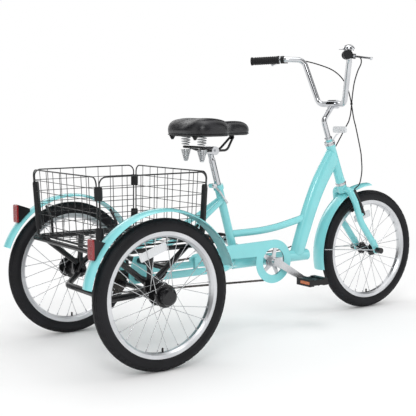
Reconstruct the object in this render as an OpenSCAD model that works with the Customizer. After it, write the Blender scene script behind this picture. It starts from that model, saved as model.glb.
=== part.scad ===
// Adult tricycle: one steered front wheel, two rear wheels on a driven axle, and a
// wire basket between them. Millimetres. X runs forward, Y to the rider's left and Z up.
// The origin is on the floor, under the middle of the tricycle's length and width.

/* [Wheels] */
// Outer diameter of every tyre
wheel_d = 500; // [480:1:540]
// Width of a tyre's round section
tyre_w = 49; // [44:1:54]
// Wall of a tyre
tyre_wall = 4; // [2:0.5:6]
// Outer diameter of a rim
rim_d = 416; // [400:1:424]
// Width of a rim over its flanges
rim_w = 29; // [24:1:34]
// Spokes in each wheel
spoke_count = 28; // [20:4:36]
// Thickness of a spoke
spoke_d = 2.2; // [1.8:0.1:3]
// Distance from the rear axle to the front axle
wheelbase = 1230; // [1150:5:1320]
// Distance between the rear wheels' middles
track = 656; // [600:2:720]

/* [Steering] */
// Angle of the steering axis above the floor, in degrees
head_angle = 69.3; // [66:0.1:73]
// How far the front axle lies ahead of the steering axis
fork_offset = 41; // [30:1:55]
// Outer diameter of the head tube
head_d = 39; // [36:1:46]
// Length of the head tube
head_len = 166; // [140:1:190]
// Height of the head tube's lower end along the steering axis, above the front axle's level
head_up = 327; // [318:1:345]
// Diameter of the fork's steerer
steerer_d = 25.4; // [22:0.1:28.6]
// Diameter of the stem's upright tube
stem_d = 22; // [19:0.5:22.2]
// Diameter of the handlebar
bar_d = 22.2; // [20:0.1:25.4]
// Length of a grip
grip_len = 118; // [90:1:120]
// Diameter of a grip
grip_d = 34; // [30:1:38]

/* [Frame] */
// Depth of the down tube at the head tube
down_top_d = 72; // [60:1:76]
// Depth of the down tube at the bottom tube
down_low_d = 56; // [48:1:62]
// Diameter of the bottom tube
boom_d = 45; // [38:1:52]
// Height of the bottom tube and the crank above the floor
boom_z = 257; // [245:1:280]
// Distance from the rear axle to the crank
crank_x = 675; // [640:5:710]
// Diameter of the seat tube
seat_tube_d = 31.8; // [30:0.1:36]
// Angle of the seat tube above the floor, in degrees
seat_angle = 74.3; // [70:0.1:78]
// Length of the seat tube above the bottom tube's middle
seat_tube_len = 312; // [280:1:350]
// Diameter of the curved top tube
top_tube_d = 28; // [22:1:32]
// Diameter of a chain stay
chain_stay_d = 26; // [22:1:30]
// Distance from the middle plane to a chain stay
stay_y = 74; // [70:1:80]
// Diameter of a seat stay
seat_stay_d = 20; // [16:1:24]

/* [Drive] */
// Teeth on the chainring
ring_teeth = 36; // [32:2:38]
// Teeth on the rear sprocket
sprocket_teeth = 18; // [16:1:20]
// Length of a crank arm between its holes
crank_len = 160; // [140:1:170]
// Angle of the right crank arm above level, in degrees, at rest
crank_rest = -30.9; // [-60:0.1:60]
// Diameter of the rear axle
axle_d = 17; // [15:0.5:20]

/* [Saddle] */
// Diameter of the seat post
post_d = 25.4; // [22:0.1:27.2]
// Length of the seat post
post_len = 300; // [250:1:350]
// Length of the post that stands out of the seat tube
post_out = 128; // [90:1:180]
// Width of the saddle
saddle_w = 246; // [200:1:270]
// Length of the saddle
saddle_len = 312; // [290:1:330]

/* [Basket] */
// Length of the basket along the rim
basket_len = 425; // [380:1:460]
// Width of the basket over the rim
basket_w = 492; // [440:1:500]
// Height of the basket
basket_h = 236; // [180:1:260]
// Thickness of a rim rod
rim_rod_d = 4.8; // [4:0.1:6]
// Thickness of a mesh rod
mesh_rod_d = 2.4; // [2:0.1:3]

/* [Mudguards] */
// Gap between a tyre and its mudguard
guard_gap = 22; // [15:1:30]
// Width of a mudguard
mudguard_w = 62; // [54:1:70]
// Thickness of a mudguard
mudguard_t = 1.6; // [1:0.1:3]

/* [Hidden] */
$fn = 64;

// Colours
mint = [0.50, 0.86, 0.87];
black = [0.06, 0.06, 0.07];
chrome = [0.80, 0.81, 0.83];
silver = [0.72, 0.73, 0.75];
red = [0.70, 0.03, 0.05];
white = [0.93, 0.93, 0.93];

// Clearances
run_gap = 0.05;       // radial, a shaft that turns or slides in its hole
free_gap = 0.5;       // between faces that pass each other

// Wheels
wheel_r = wheel_d / 2;
tyre_r = tyre_w / 2;
tyre_mid_r = wheel_r - tyre_r;
rim_r = rim_d / 2;
rim_wall = 1.6;
rim_depth = 19;
rim_in_r = rim_r - rim_depth;
nipple_d = 4.6;
nipple_len = 9;
valve_d = 6;
valve_len = 34;

// Mudguards
guard_in_r = wheel_r + guard_gap;
rear_guard_from = 14;
rear_guard_to = 170;
left_guard_to = 159;   // the left guard is hung a little further forward
front_guard_from = 90.5;
front_guard_to = 193;
guard_out_r = guard_in_r + mudguard_t + 8;   // over the arch

// The whole tricycle's length places the origin
front_reach = wheelbase + wheel_r;
rear_reach = guard_out_r * cos(180 - rear_guard_to);
mid_x = (front_reach - rear_reach) / 2;

// Steering axis: it points up and back from the crown
axle_z = wheel_r;
front_axle = [wheelbase, 0, axle_z];
steer_dir = [-cos(head_angle), 0, sin(head_angle)];
steer_fwd = [sin(head_angle), 0, cos(head_angle)];
steer_foot = front_axle - fork_offset * steer_fwd;
head_low = steer_foot + head_up * steer_dir;
head_top = head_low + head_len * steer_dir;
cup_h = 12;
cup_d = head_d + 1;
crown_top = head_low - (cup_h + free_gap) * steer_dir;
stem_foot = head_top + (cup_h + 14) * steer_dir;

// Fork
leg_y = 57;
leg_d = 27;
dropout_t = 6;

// Stem and handlebar
bar_clamp = [1032, 0, 861];
stem_bend = stem_foot + 82 * steer_dir;
bar_pts = [[1032, 0, 861], [1022, 76, 861], [990, 138, 1044], [932, 176, 1047],
    [839, 290, 1042]];
bar_bends = [34, 36, 60];
bar_dir = (bar_pts[4] - bar_pts[3]) / norm(bar_pts[4] - bar_pts[3]);
grip_in = bar_pts[4] - (grip_len - 3) * bar_dir;
clamp_d = bar_d + 13;
lever_at = grip_in - 14 * bar_dir;
bell_dir = unit(bar_pts[3] - bar_pts[2]);
bell_at = bar_pts[2] + 43 * bell_dir;

// Frame
boom_front = 893;
boom_back = 520;
seat_dir = [-cos(seat_angle), 0, sin(seat_angle)];
seat_low = [540, 0, boom_z];
seat_top = seat_low + seat_tube_len * seat_dir;
down_pts = [[844, 0, boom_z + 10], [873, 0, 352], [912, 0, 450], [961, 0, 548],
    [1034, 0, 656]];
down_flat = 44;       // width of the down tube over its flat sides
shell_d = 42;
shell_w = 70;
bracket_x = 62;
bracket_t = 5;
brace_z = axle_z + 72;

// Drive
link_pitch = 12.7;
ring_pitch_r = link_pitch / 2 / sin(180 / ring_teeth);
sprocket_pitch_r = link_pitch / 2 / sin(180 / sprocket_teeth);
chain_y = -52;
chain_h = 8.4;
chain_w = 7.6;
crank_c = [crank_x, 0, boom_z];
rear_c = [0, 0, axle_z];
spindle_d = 16;
spindle_r_end = -86;
spindle_l_end = 84;
arm_t = 13;
pedal_gap = 1;
pedal_pin_d = 9;
pedal_len = 92;
pedal_w = 79;
pedal_h = 27;

// Rear axle
hub_y = track / 2;
hub_in = hub_y - 46;
hub_out = hub_y + 43;
plate_y = hub_in - 20;
bearing_d = 40;
drum_d = 70;
band_d = drum_d + 10;
rear_arm_z = axle_z + 50;
rear_arm_x = 28;
rear_pin_d = 4;

// Basket
basket_z = 400;
basket_mid_x = 28;
basket_taper = 10;
corner_r = 24;
mesh_step = mesh_rod_d / 2 + 0.1;

// Saddle
post_top = seat_top + post_out * seat_dir;
saddle_nose_x = 597;
saddle_base_z = 748;
saddle_h = 67;
saddle_pivot = [saddle_nose_x - 78, 0, saddle_base_z - 9];
spring_x = 347;
spring_y = 53;
rail_y = 26;

cable_d = 5;
tie_at = [1133, 0, 863];

// ---------- helpers ----------

function unit(v) = v / norm(v);
function mirror_y(p) = [p.x, -p.y, p.z];
function blend(a, b, t) = a + (b - a) * t;
function side_axis(z) = unit(cross(abs(z.z) < 0.9 ? [0, 0, 1] : [1, 0, 0], z));

// Places children with their Z axis along p to q, from p
module along(p, q, side = undef) {
    z = unit(q - p);
    x = is_undef(side) ? side_axis(z) : unit(side - (side * z) * z);
    y = cross(z, x);
    multmatrix([[x.x, y.x, z.x, p.x], [x.y, y.y, z.y, p.y], [x.z, y.z, z.z, p.z]])
        children();
}

module rod(p, q, d) {
    along(p, q) cylinder(h = norm(q - p), d = d);
}

module cone_rod(p, q, d0, d1) {
    along(p, q) cylinder(h = norm(q - p), d1 = d0, d2 = d1);
}

module hollow_rod(p, q, d, bore) {
    along(p, q) difference() {
        cylinder(h = norm(q - p), d = d);
        translate([0, 0, -1]) cylinder(h = norm(q - p) + 2, d = bore);
    }
}

// A round tube along points, with an arc of radius bends[i - 1] at each inner point
function corner_angle(p, i) = acos(min(1, unit(p[i] - p[i - 1]) * unit(p[i + 1] - p[i])));
function corner_trim(p, bends, i) =
    i == 0 || i == len(p) - 1 ? 0 : bends[i - 1] * tan(corner_angle(p, i) / 2);

// Each straight run reaches a little into its bend, which is a hair thicker
bend_lap = 0.6;
bend_swell = 0.08;

module bent_tube(p, bends, d) {
    n = len(p) - 1;
    for (i = [0 : n - 1]) {
        run = unit(p[i + 1] - p[i]);
        a = p[i] + (corner_trim(p, bends, i) - (i > 0 ? bend_lap : 0)) * run;
        b = p[i + 1] - (corner_trim(p, bends, i + 1) - (i + 1 < n ? bend_lap : 0)) * run;
        rod(a, b, d);
    }
    if (n > 1) for (i = [1 : n - 1])
        tube_corner(p[i - 1], p[i], p[i + 1], bends[i - 1], d + bend_swell);
}

module tube_corner(p0, p1, p2, r, d) {
    d1 = unit(p1 - p0);
    d2 = unit(p2 - p1);
    turn = acos(min(1, d1 * d2));
    centre = p1 + unit(d2 - d1) * r / cos(turn / 2);
    start = p1 - d1 * r * tan(turn / 2);
    x = (start - centre) / r;
    z = cross(x, d1);
    multmatrix([[x.x, d1.x, z.x, centre.x], [x.y, d1.y, z.y, centre.y],
            [x.z, d1.z, z.z, centre.z]])
        rotate_extrude(angle = turn) translate([r, 0]) circle(d = d);
}

// Children drawn in a wheel's plane: X forward, Y up, Z to the right
module wheel_plane(c) {
    translate(c) rotate([90, 0, 0]) children();
}

module both_sides() {
    children();
    mirror([0, 1, 0]) children();
}

// A sweep of a round section along chosen points, smoothed, as one closed solid
function curve_at(p, i, t) =
    let (a = p[max(0, i - 1)], b = p[i], c = p[i + 1], d = p[min(len(p) - 1, i + 2)])
    0.5 * (2 * b + (c - a) * t + (2 * a - 5 * b + 4 * c - d) * t * t
        + (3 * b - a - 3 * c + d) * t * t * t);
function curve_points(p, steps) = concat(
    [for (i = [0 : len(p) - 2], k = [0 : steps - 1]) curve_at(p, i, k / steps)],
    [p[len(p) - 1]]);
function heading(c, i) =
    unit(c[min(len(c) - 1, i + 1)] - c[max(0, i - 1)]);

module swept_tube(points, d, steps = 3, sides = 8) {
    c = curve_points(points, steps);
    n = len(c);
    up = unit([0.13, 0.97, 0.21]);
    ring = [for (i = [0 : n - 1])
        let (z = heading(c, i), x = unit(up - (up * z) * z), y = cross(z, x))
        for (k = [0 : sides - 1])
            c[i] + d / 2 * (cos(360 * k / sides) * x + sin(360 * k / sides) * y)];
    side_faces = [for (i = [0 : n - 2], k = [0 : sides - 1])
        let (a = i * sides + k, b = i * sides + (k + 1) % sides)
        for (f = [[a, a + sides, b + sides], [a, b + sides, b]]) f];
    first = [[for (k = [0 : sides - 1]) k]];
    last = [[for (k = [sides - 1 : -1 : 0]) (n - 1) * sides + k]];
    polyhedron(ring, concat(side_faces, first, last));
}

// A coil of round wire about Z, from z = 0, with its radius running from r0 to r1
module coil(r0, r1, h, turns, wire_d, steps = 15, sides = 6) {
    n = turns * steps;
    pts = [for (i = [0 : n])
        let (t = i / n, a = 360 * i / steps, r = r0 + (r1 - r0) * t)
        for (k = [0 : sides - 1])
            let (e = 360 * k / sides, q = r + wire_d / 2 * cos(e))
            [q * cos(a), q * sin(a), h * t + wire_d / 2 * sin(e)]];
    side_faces = [for (i = [0 : n - 1], k = [0 : sides - 1])
        let (a = i * sides + k, b = i * sides + (k + 1) % sides)
        for (f = [[a, b + sides, a + sides], [a, b, b + sides]]) f];
    first = [[for (k = [sides - 1 : -1 : 0]) k]];
    last = [[for (k = [0 : sides - 1]) n * sides + k]];
    polyhedron(pts, concat(side_faces, first, last));
}

// ---------- frame ----------

module head_and_down_tube() {
    color(mint) {
        difference() {
            union() {
                rod(head_low, head_top, head_d);
                difference() {
                    down_tube_body();
                    ahead_of_head();
                }
            }
            rod(head_low - 30 * steer_dir, head_top + 30 * steer_dir,
                steerer_d + 5);
            rod([boom_back - 60, 0, boom_z], [boom_front + 60, 0, boom_z], boom_d);
        }
    }
}

// Everything ahead of the steering axis, where the down tube ends
module ahead_of_head() {
    along(head_low, head_top, [0, 1, 0]) translate([-60, -120, -40]) cube([120, 120, 300]);
}

// Four tapered runs with round knuckles, pressed flat on both sides, stand for the slow curve
module down_tube_body() {
    n = len(down_pts) - 1;
    difference() {
        union() {
            for (i = [0 : n - 1])
                cone_rod(down_pts[i], down_pts[i + 1], down_at(i / n), down_at((i + 1) / n));
            for (i = [1 : n - 1]) translate(down_pts[i])
                sphere(d = down_at(i / n) + knuckle_swell);
        }
        both_sides() translate([boom_back, down_flat / 2, 0]) cube([800, 60, 1000]);
    }
}
knuckle_swell = 0.06;   // a knuckle is a hair thicker than its runs
function down_at(t) = down_low_d + (down_top_d - down_low_d) * t;

module bottom_tube_and_stays() {
    color(mint) difference() {
        union() {
            rod([boom_back, 0, boom_z], [boom_front, 0, boom_z], boom_d);
            translate([boom_front - 1, 0, boom_z]) scale([0.25, 1, 1]) sphere(d = boom_d);
            rod([crank_x, -shell_w / 2, boom_z], [crank_x, shell_w / 2, boom_z], shell_d);
            both_sides() chain_stay();
        }
        rod([crank_x, -shell_w, boom_z], [crank_x, shell_w, boom_z], shell_d - 7);
        seat_tube_cut(0);
    }
}

module chain_stay() {
    difference() {
        bent_tube([[boom_back + 50, 9, boom_z], [boom_back - 6, 14, boom_z],
                [boom_back - 92, stay_y, boom_z - 1], [bracket_x, stay_y, axle_z + 6]],
            [60, 60], chain_stay_d);
        cross_tubes(2 * run_gap);
    }
    difference() {
        translate([bracket_x - 22, stay_y - bracket_t / 2, axle_z - 8])
            rotate([90, 0, 0]) mirror([0, 0, 1]) linear_extrude(bracket_t)
                polygon([[-16, 0], [52, 0], [60, 34], [38, 96], [6, 96], [-16, 40]]);
        cross_tubes(2 * run_gap);
    }
}

module seat_tube_cut(extra) {
    rod(seat_low - 10 * seat_dir, seat_top, seat_tube_d + extra);
}

module seat_and_top_tube() {
    color(mint) difference() {
        union() {
            rod(seat_low - 10 * seat_dir, seat_top, seat_tube_d);
            difference() {
                top_tube_body();
                down_tube_body();
            }
        }
        rod(seat_top - (post_len - post_out + 30) * seat_dir, seat_top + 10 * seat_dir,
            post_d + 2 * run_gap);
    }
}

module top_tube_body() {
    bent_tube([seat_low + 118 * seat_dir, [700, 0, 371.4], [900, 0, 411.6]], [900],
        top_tube_d);
}

module seat_stays() {
    color(mint) difference() {
        seat_stay_pair(0);
        seat_tube_cut(0);
        cross_tubes(2 * run_gap);
    }
}

module seat_stay_pair(extra) {
    both_sides() bent_tube([seat_low + 262 * seat_dir + [4, 11, 0], [384, 24, 452],
            [300, stay_y - 22, 401], [bracket_x + 8, stay_y - 12.5, brace_z + 2]],
        [45, 60], seat_stay_d + extra);
}

module bearing_cups() {
    color(chrome) {
        head_cup(head_low, -steer_dir);
        head_cup(head_top, steer_dir);
        both_sides() hollow_rod([crank_x, shell_w / 2 + 4, boom_z],
            [crank_x, shell_w / 2 - 14, boom_z], shell_d - 7, spindle_d + 2 * run_gap);
        both_sides() hollow_rod([crank_x, shell_w / 2, boom_z],
            [crank_x, shell_w / 2 + 4, boom_z], shell_d - 1, spindle_d + 2 * run_gap);
    }
}

module head_cup(foot, dir) {
    hollow_rod(foot - 10 * dir, foot + 0.1 * dir, steerer_d + 5, steerer_d + 2 * run_gap);
    hollow_rod(foot, foot + cup_h * dir, cup_d, steerer_d + 2 * run_gap);
    hollow_rod(foot + 3 * dir, foot + 7 * dir, cup_d + 4, steerer_d + 2 * run_gap);
}

// ---------- fork, stem and bars ----------

leg_top = crown_top - 22 * steer_dir;
leg_knee = leg_top - 34 * steer_dir;
leg_low = steer_foot + 150 * steer_dir;
function leg_point(p, y) = [p.x, y, p.z];

module fork() {
    color(mint) difference() {
        union() {
            rod(crown_top - 30 * steer_dir, head_top + (cup_h + 12) * steer_dir, steerer_d);
            rod(crown_top - 31 * steer_dir, crown_top, head_d + 2);
            both_sides() fork_leg();
        }
        rod(crown_top + 20 * steer_dir, head_top + 80 * steer_dir,
            stem_d + 2 * run_gap);
    }
}

module fork_leg() {
    bent_tube([leg_point(crown_top - 20 * steer_dir, 2), leg_point(leg_top, leg_y - 14),
            leg_point(leg_knee - 20 * steer_dir, leg_y), leg_point(leg_low, leg_y),
            leg_point(front_axle + 26 * steer_dir - 3 * steer_fwd, leg_y)],
        [22, 34, 150], leg_d);
    difference() {
        translate([front_axle.x, leg_y - dropout_t / 2, front_axle.z]) dropout_plate();
        rod(front_axle, front_axle + [0, 2 * leg_y, 0], axle_front_d + 0.4);
    }
    along(brake_stud, brake_stud + steer_fwd) {
        translate([0, 0, 4 - leg_d / 2]) cylinder(h = leg_d / 2 - 0.7, d = 14);
        cylinder(h = 13, d = stud_d);
    }
}
axle_front_d = 10;

module dropout_plate() {
    rotate([0, -90 + head_angle, 0]) translate([0, dropout_t, 0]) rotate([90, 0, 0])
        linear_extrude(dropout_t) union() {
            circle(d = 30);
            polygon([[-15, 0], [15, 0], [10, 44], [-16, 44]]);
        }
}

// Brake arms turn on studs in front of the fork's legs
brake_stud = leg_point(steer_foot + (rim_r - 32) * steer_dir + 17 * steer_fwd, leg_y);
stud_d = 8;

module stem() {
    color(chrome) {
        difference() {
            union() {
                bent_tube([head_low + 60 * steer_dir, stem_bend, bar_clamp], [34], stem_d);
                rod(head_top + (cup_h + 13) * steer_dir, stem_foot + 6 * steer_dir,
                    stem_d + 9);
                rod(bar_clamp - [0, 24, 0], bar_clamp + [0, 24, 0], clamp_d);
                translate(bar_clamp + [clamp_d / 2 + 2, 0, 0])
                    rotate([0, 0, 90]) rotate([90, 0, 0]) cylinder(h = 16, d = 18, center = true);
            }
            rod(bar_clamp - [0, 60, 0], bar_clamp + [0, 60, 0], bar_d);
            translate(bar_clamp + [0, -30, -0.75]) cube([clamp_d, 60, 1.5]);
        }
        translate(bar_clamp + [clamp_d / 2 + 2, 0, -14]) cylinder(h = 8, d = 10, $fn = 6);
    }
}

module handlebar() {
    color(chrome) {
        rod([bar_clamp.x, -1, bar_clamp.z], [bar_clamp.x, 1, bar_clamp.z], bar_d);
        both_sides() bent_tube(concat([bar_pts[0], bar_pts[0] + [0, 30, 0]],
                [for (i = [1 : 4]) bar_pts[i]]), concat([60], bar_bends), bar_d);
    }
}

module grips() {
    color(black) both_sides() difference() {
        union() {
            rod(grip_in, bar_pts[4] + 3 * bar_dir, grip_d - 4);
            rod(grip_in, grip_in + 5 * bar_dir, grip_d);
            rod(bar_pts[4] - 3 * bar_dir, bar_pts[4] + 4 * bar_dir, grip_d);
            for (i = [1 : 11]) grip_rib(grip_in + i * (grip_len - 8) / 12 * bar_dir);
        }
        rod(grip_in - 10 * bar_dir, bar_pts[4], bar_d);
    }
}

module grip_rib(p) {
    rod(p - 2.4 * bar_dir, p + 2.4 * bar_dir, grip_d - 1.5);
}

// The brackets clamp the bar inboard of the grips; each holds a lever on a pin
lever_fwd = unit(cross([0, 0, -1], bar_dir));
pivot = lever_at + 30 * lever_fwd - [0, 0, 4];
lever_pin_d = 5;
lever_tip = pivot + 62 * bar_dir + 60 * lever_fwd - [0, 0, 10];
barrel_from = pivot - 14 * bar_dir + 6 * lever_fwd;
cable_in = pivot - 38 * bar_dir + 6 * lever_fwd;

module lever_bracket() {
    difference() {
        union() {
            rod(lever_at - 7 * bar_dir, lever_at + 7 * bar_dir, bar_d + 9);
            along(lever_at, pivot, [0, 0, 1]) translate([-9, -7, 12.2]) cube([18, 22, 25.8]);
            rod(barrel_from, cable_in + 0.5 * bar_dir, 10);
        }
        rod(lever_at - 20 * bar_dir, lever_at + 20 * bar_dir, bar_d);
        rod(pivot - [0, 0, 20], pivot + [0, 0, 20], lever_pin_d + 2 * run_gap);
        translate(pivot - [0, 0, 6]) rotate([0, 0, lever_turn]) linear_extrude(12) {
            circle(d = 22);
            translate([0, -14]) square([40, 28]);
        }
    }
}
lever_turn = atan2((lever_tip - pivot).y, (lever_tip - pivot).x);

module lever_brackets() {
    color(black) both_sides() lever_bracket();
}

module brake_lever() {
    translate(pivot - [0, 0, 4]) cylinder(h = 8, d = 14);
    along(pivot, lever_tip, [0, 0, 1]) translate([-3.4, -5, 0])
        cube([6.8, 10, norm(lever_tip - pivot)]);
    translate(lever_tip) sphere(d = 13);
    rod(pivot - [0, 0, 9], pivot + [0, 0, 9], lever_pin_d);
}

module left_brake_lever() { color(silver) brake_lever(); }
module right_brake_lever() { color(silver) mirror([0, 1, 0]) brake_lever(); }

bell_r = 23;
bell_c = mirror_y(bell_at) + [9, 0, bar_d / 2 + 15];

module bell() {
    color(chrome) {
        difference() {
            union() {
                rod(mirror_y(bell_at - 6 * bell_dir), mirror_y(bell_at + 6 * bell_dir),
                    bar_d + 6);
                translate([bell_c.x - 6, bell_c.y - 5, bell_c.z - 16]) cube([12, 10, 10]);
            }
            rod(mirror_y(bell_at - 9 * bell_dir), mirror_y(bell_at + 9 * bell_dir), bar_d);
        }
        translate(bell_c - [0, 0, 7]) cylinder(h = 4, d = bell_r * 2 - 8);
        translate(bell_c - [0, 0, 7]) cylinder(h = 24, d = 6);
        translate(bell_pin - [0, 0, 1]) cylinder(h = 6.6, d = bell_pin_d);
        translate(bell_c) difference() {
            translate([0, 0, 1]) scale([1, 1, 0.72]) sphere(r = bell_r);
            translate([0, 0, 1]) scale([1, 1, 0.72]) sphere(r = bell_r - 1.6);
            translate([0, 0, -40]) cube(80, center = true);
        }
    }
}

bell_pin = bell_c + [-8, 13, -6];
bell_pin_d = 3;
module bell_lever() {
    color(black) {
        translate(bell_pin + [0, 0, 3.3]) difference() {
            union() {
                cylinder(h = 2, d = 8);
                translate([-24, -3, 0]) cube([22, 6, 2]);
                translate([-24, 0, 0]) cylinder(h = 2, d = 12);
            }
            translate([0, 0, -1]) cylinder(h = 5, d = bell_pin_d + 2 * run_gap);
        }
    }
}

// A flat reflector on a bracket that a washer holds over the upper head cup
reflector_c = head_top + cup_h * steer_dir + [52, 0, 50];
module front_reflector() {
    color(white) translate(reflector_c) rotate([0, 90, 0]) {
        rounded_plate(26, 76, 8, 8);
        translate([0, 0, 8]) rounded_plate(20, 70, 1, 6);
    }
    color(black) {
        along(head_top + (cup_h + 0.2) * steer_dir,
            head_top + (cup_h + 3.2) * steer_dir) difference() {
                cylinder(h = 3, d = head_d + 4);
                translate([0, 0, -1]) cylinder(h = 6, d = steerer_d + 2 * run_gap);
            }
        bent_tube([head_top + (cup_h + 1.7) * steer_dir + [19, 0, 7],
                head_top + (cup_h + 7) * steer_dir + [40, 0, 22],
                reflector_c + [4, 0, -9]], [14], 6);
    }
}

// A plate with round corners: w by h in its plane, t thick along +Z
module rounded_plate(w, h, t, r) {
    linear_extrude(t) offset_box(w, h, r);
}
module offset_box(w, h, r) {
    square([w - 2 * r, h], center = true);
    square([w, h - 2 * r], center = true);
    for (x = [-1, 1], y = [-1, 1]) translate([x * (w / 2 - r), y * (h / 2 - r)]) circle(r);
}

// ---------- front brake ----------

// The arm lies in a plane square to the steering axis: X outward, Y up along it
module brake_arm() {
    color(black) {
        along(stud_front, stud_front + steer_fwd, [0, 1, 0]) difference() {
            linear_extrude(8) {
                circle(d = 17);
                polygon([[8, 0], [5, arm_up], [-7, arm_up], [-8, 0]]);
                translate([-1, arm_up]) circle(d = 12);
                polygon([[4.6, arm_up - 2], [arm_in + 4, arm_reach], [arm_in - 4, arm_reach],
                        [-6, arm_up + 2]]);
                translate([arm_in, arm_reach]) circle(d = 9);
            }
            translate([0, 0, -1]) cylinder(h = 12, d = stud_d + 2 * run_gap);
        }
        rod(pad_bolt, pad_bolt - [0, pad_bolt.y - rim_w / 2 - pad_gap - 4, 0], 6);
        brake_pad();
    }
}
arm_up = 46;
arm_reach = 104;
arm_in = -13;
pad_gap = 1.6;
stud_front = brake_stud + steer_fwd * 3.4;
arm_end = stud_front + arm_reach * steer_dir + [0, arm_in, 0];
pad_bolt = stud_front + 26 * steer_dir + 4 * steer_fwd + [0, -5, 0];

// A pad is a shoe curved to the rim's side wall
module brake_pad() {
    spread = 15;
    wheel_plane(front_axle) translate([0, 0, -rim_w / 2 - pad_gap - 9])
        rotate([0, 0, pad_angle - spread / 2]) rotate_extrude(angle = spread)
            translate([rim_r - 12, 0]) square([9, 9]);
}
pad_angle = atan2((pad_bolt - front_axle).z, (pad_bolt - front_axle).x);

module left_brake_arm() { brake_arm(); }
module right_brake_arm() { mirror([0, 1, 0]) brake_arm(); }

module brake_noodle() {
    noodle_at = mirror_y(arm_end) + 8 * steer_dir;
    rod(noodle_at + [12, 6, 0], noodle_at + [0, 60, 0] + 3 * steer_fwd, 6);
}

// ---------- cables ----------

// Cable routes, as chosen points
front_cable_pts = [cable_in, [1012, 152, 1041], [1069, 120, 1024], [1118, 98, 1003],
    [1143, 72, 972], [1144, 40, 934], [1138, 15, 893], [1135.5, 3, 863], [1146, 0, 804],
    [1160, 0, 763], [1187, 0, 670], [1191, -2, 637], [1189, -8, 586], [1170, -20, 545],
    [1146, -34, 527], mirror_y(arm_end) + 8 * steer_dir + [12, 8, 0]];
rear_cable_top_pts = [mirror_y(cable_in), [1020, -165, 1041], [1052, -138, 1022],
    [1074, -96, 992], [1093, -58, 950], [1109, -32, 907], [1130.5, -3.4, 863],
    [1132, 4, 820], [1128, 10, 790]];
rear_cable_loop_pts = [[1128, 10, 790], [1118, 24, 758], [1104, 35, 722], [1082, 41, 684],
    [1052, 40, 646], [1020, 33, 606]];
rear_cable_pts = [[1019.4, 32.9, 605], [992, 29, 560], [956, 27, 490], [920, 27, 410],
    [893, 27, 345], [866, 28, 304], [816, 26, 287], [740, 14, 284], [640, 14, 284],
    [590, 18, 284], [533, 22, 284], [470, 36, 284], [380, 50, 284], [240, 56, 284],
    [110, 58, 287], [62, 52, 293], [rear_arm_x + 3, 43.8, rear_arm_z]];

module front_brake_cable() {
    color(black) {
        swept_tube(front_cable_pts, cable_d, 4);
        swept_tube(rear_cable_top_pts, cable_d, 4);
        rod(tie_at - [1, 1, 4], tie_at + [1, 1, 4], 13);
    }
    color(chrome) brake_noodle();
}

module rear_brake_cable_loop() { color(black) swept_tube(rear_cable_loop_pts, cable_d, 4); }
module rear_brake_cable() { color(black) swept_tube(rear_cable_pts, cable_d, 3); }

// ---------- mudguards ----------

// Half of the cross-section: a shallow arch with a raised rib and a rolled edge
function guard_arch(y) = 8 * (1 - pow(2 * y / mudguard_w, 2));
guard_ys = [for (k = [-8 : 8]) mudguard_w / 2 * k / 8];

module guard_section() {
    polygon(concat(
        [for (y = guard_ys) [guard_in_r + guard_arch(y), y]],
        [for (k = [16 : -1 : 0]) let (y = guard_ys[k])
            [guard_in_r + guard_arch(y) + mudguard_t, y]]));
}

module mudguard(c, from, to) {
    wheel_plane(c) rotate([0, 0, from]) rotate_extrude(angle = to - from) guard_section();
}

module front_mudguard() {
    color(mint) mudguard(front_axle, front_guard_from, front_guard_to);
}

module front_mudguard_stays() {
    color(black) both_sides() {
        hook = front_axle + [-(guard_in_r - 3) * cos(5), mudguard_w / 2 + 4,
            (guard_in_r - 3) * sin(5)];
        bent_tube([hook, hook + [60, 10, -4], front_axle + [-44, leg_y + 9, 6],
                front_axle + [-15, leg_y + 9, 3]], [30, 8], 4);
    }
}

module rear_mudguards() {
    color(mint) {
        mudguard([0, -hub_y, axle_z], rear_guard_from, rear_guard_to);
        mudguard([0, hub_y, axle_z], rear_guard_from, left_guard_to);
    }
}

// Each lamp stands behind its mudguard, on a shell that tapers forward to it
left_lamp = [-214, hub_y - 2, 470];
right_lamp = [-248, hub_y - 2, 420];
lamp_w = 34;
lamp_h = 66;
lamp_len = 46;

module tail_lamp_shells() {
    color(black) {
        tail_shell(left_lamp);
        mirror([0, 1, 0]) tail_shell(right_lamp);
    }
}

module tail_shell(c) {
    difference() {
        translate(c) intersection() {
            rotate([90, 0, 0]) translate([0, 0, -lamp_w / 2]) linear_extrude(lamp_w)
                polygon([[0, -lamp_h / 2], [lamp_len, -lamp_h / 6], [lamp_len, lamp_h / 4],
                        [0, lamp_h / 2]]);
            translate([0, 0, -lamp_h / 2]) linear_extrude(lamp_h)
                polygon([[0, -lamp_w / 2], [lamp_len, 2 - lamp_w / 2],
                        [lamp_len, lamp_w / 2 - 2], [0, lamp_w / 2]]);
        }
        wheel_plane([0, hub_y, axle_z]) translate([0, 0, -60])
            cylinder(h = 120, r = guard_in_r + 8 + mudguard_t + 0.1);
    }
}

module tail_lens(c) {
    translate(c + [-8, 0, 0]) rotate([0, 90, 0]) rounded_plate(lamp_h, lamp_w, 8, 8);
}

module tail_lenses() {
    color(red) {
        tail_lens(left_lamp);
        mirror([0, 1, 0]) tail_lens(right_lamp);
    }
}

// ---------- wheels ----------

module tyre(c) {
    bead_y = rim_w / 2 - rim_wall - 0.1;
    wheel_plane(c) {
        rotate_extrude() difference() {
            translate([tyre_mid_r, 0]) circle(r = tyre_r);
            translate([tyre_mid_r, 0]) circle(r = tyre_r - tyre_wall);
            translate([rim_in_r, -7]) square([rim_depth + 6, 14]);
            for (s = [-1, 1]) translate([rim_in_r, s > 0 ? bead_y : -bead_y - 20])
                square([rim_depth, 20]);
        }
        rotate([0, 0, 270]) valve();
    }
}

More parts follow.
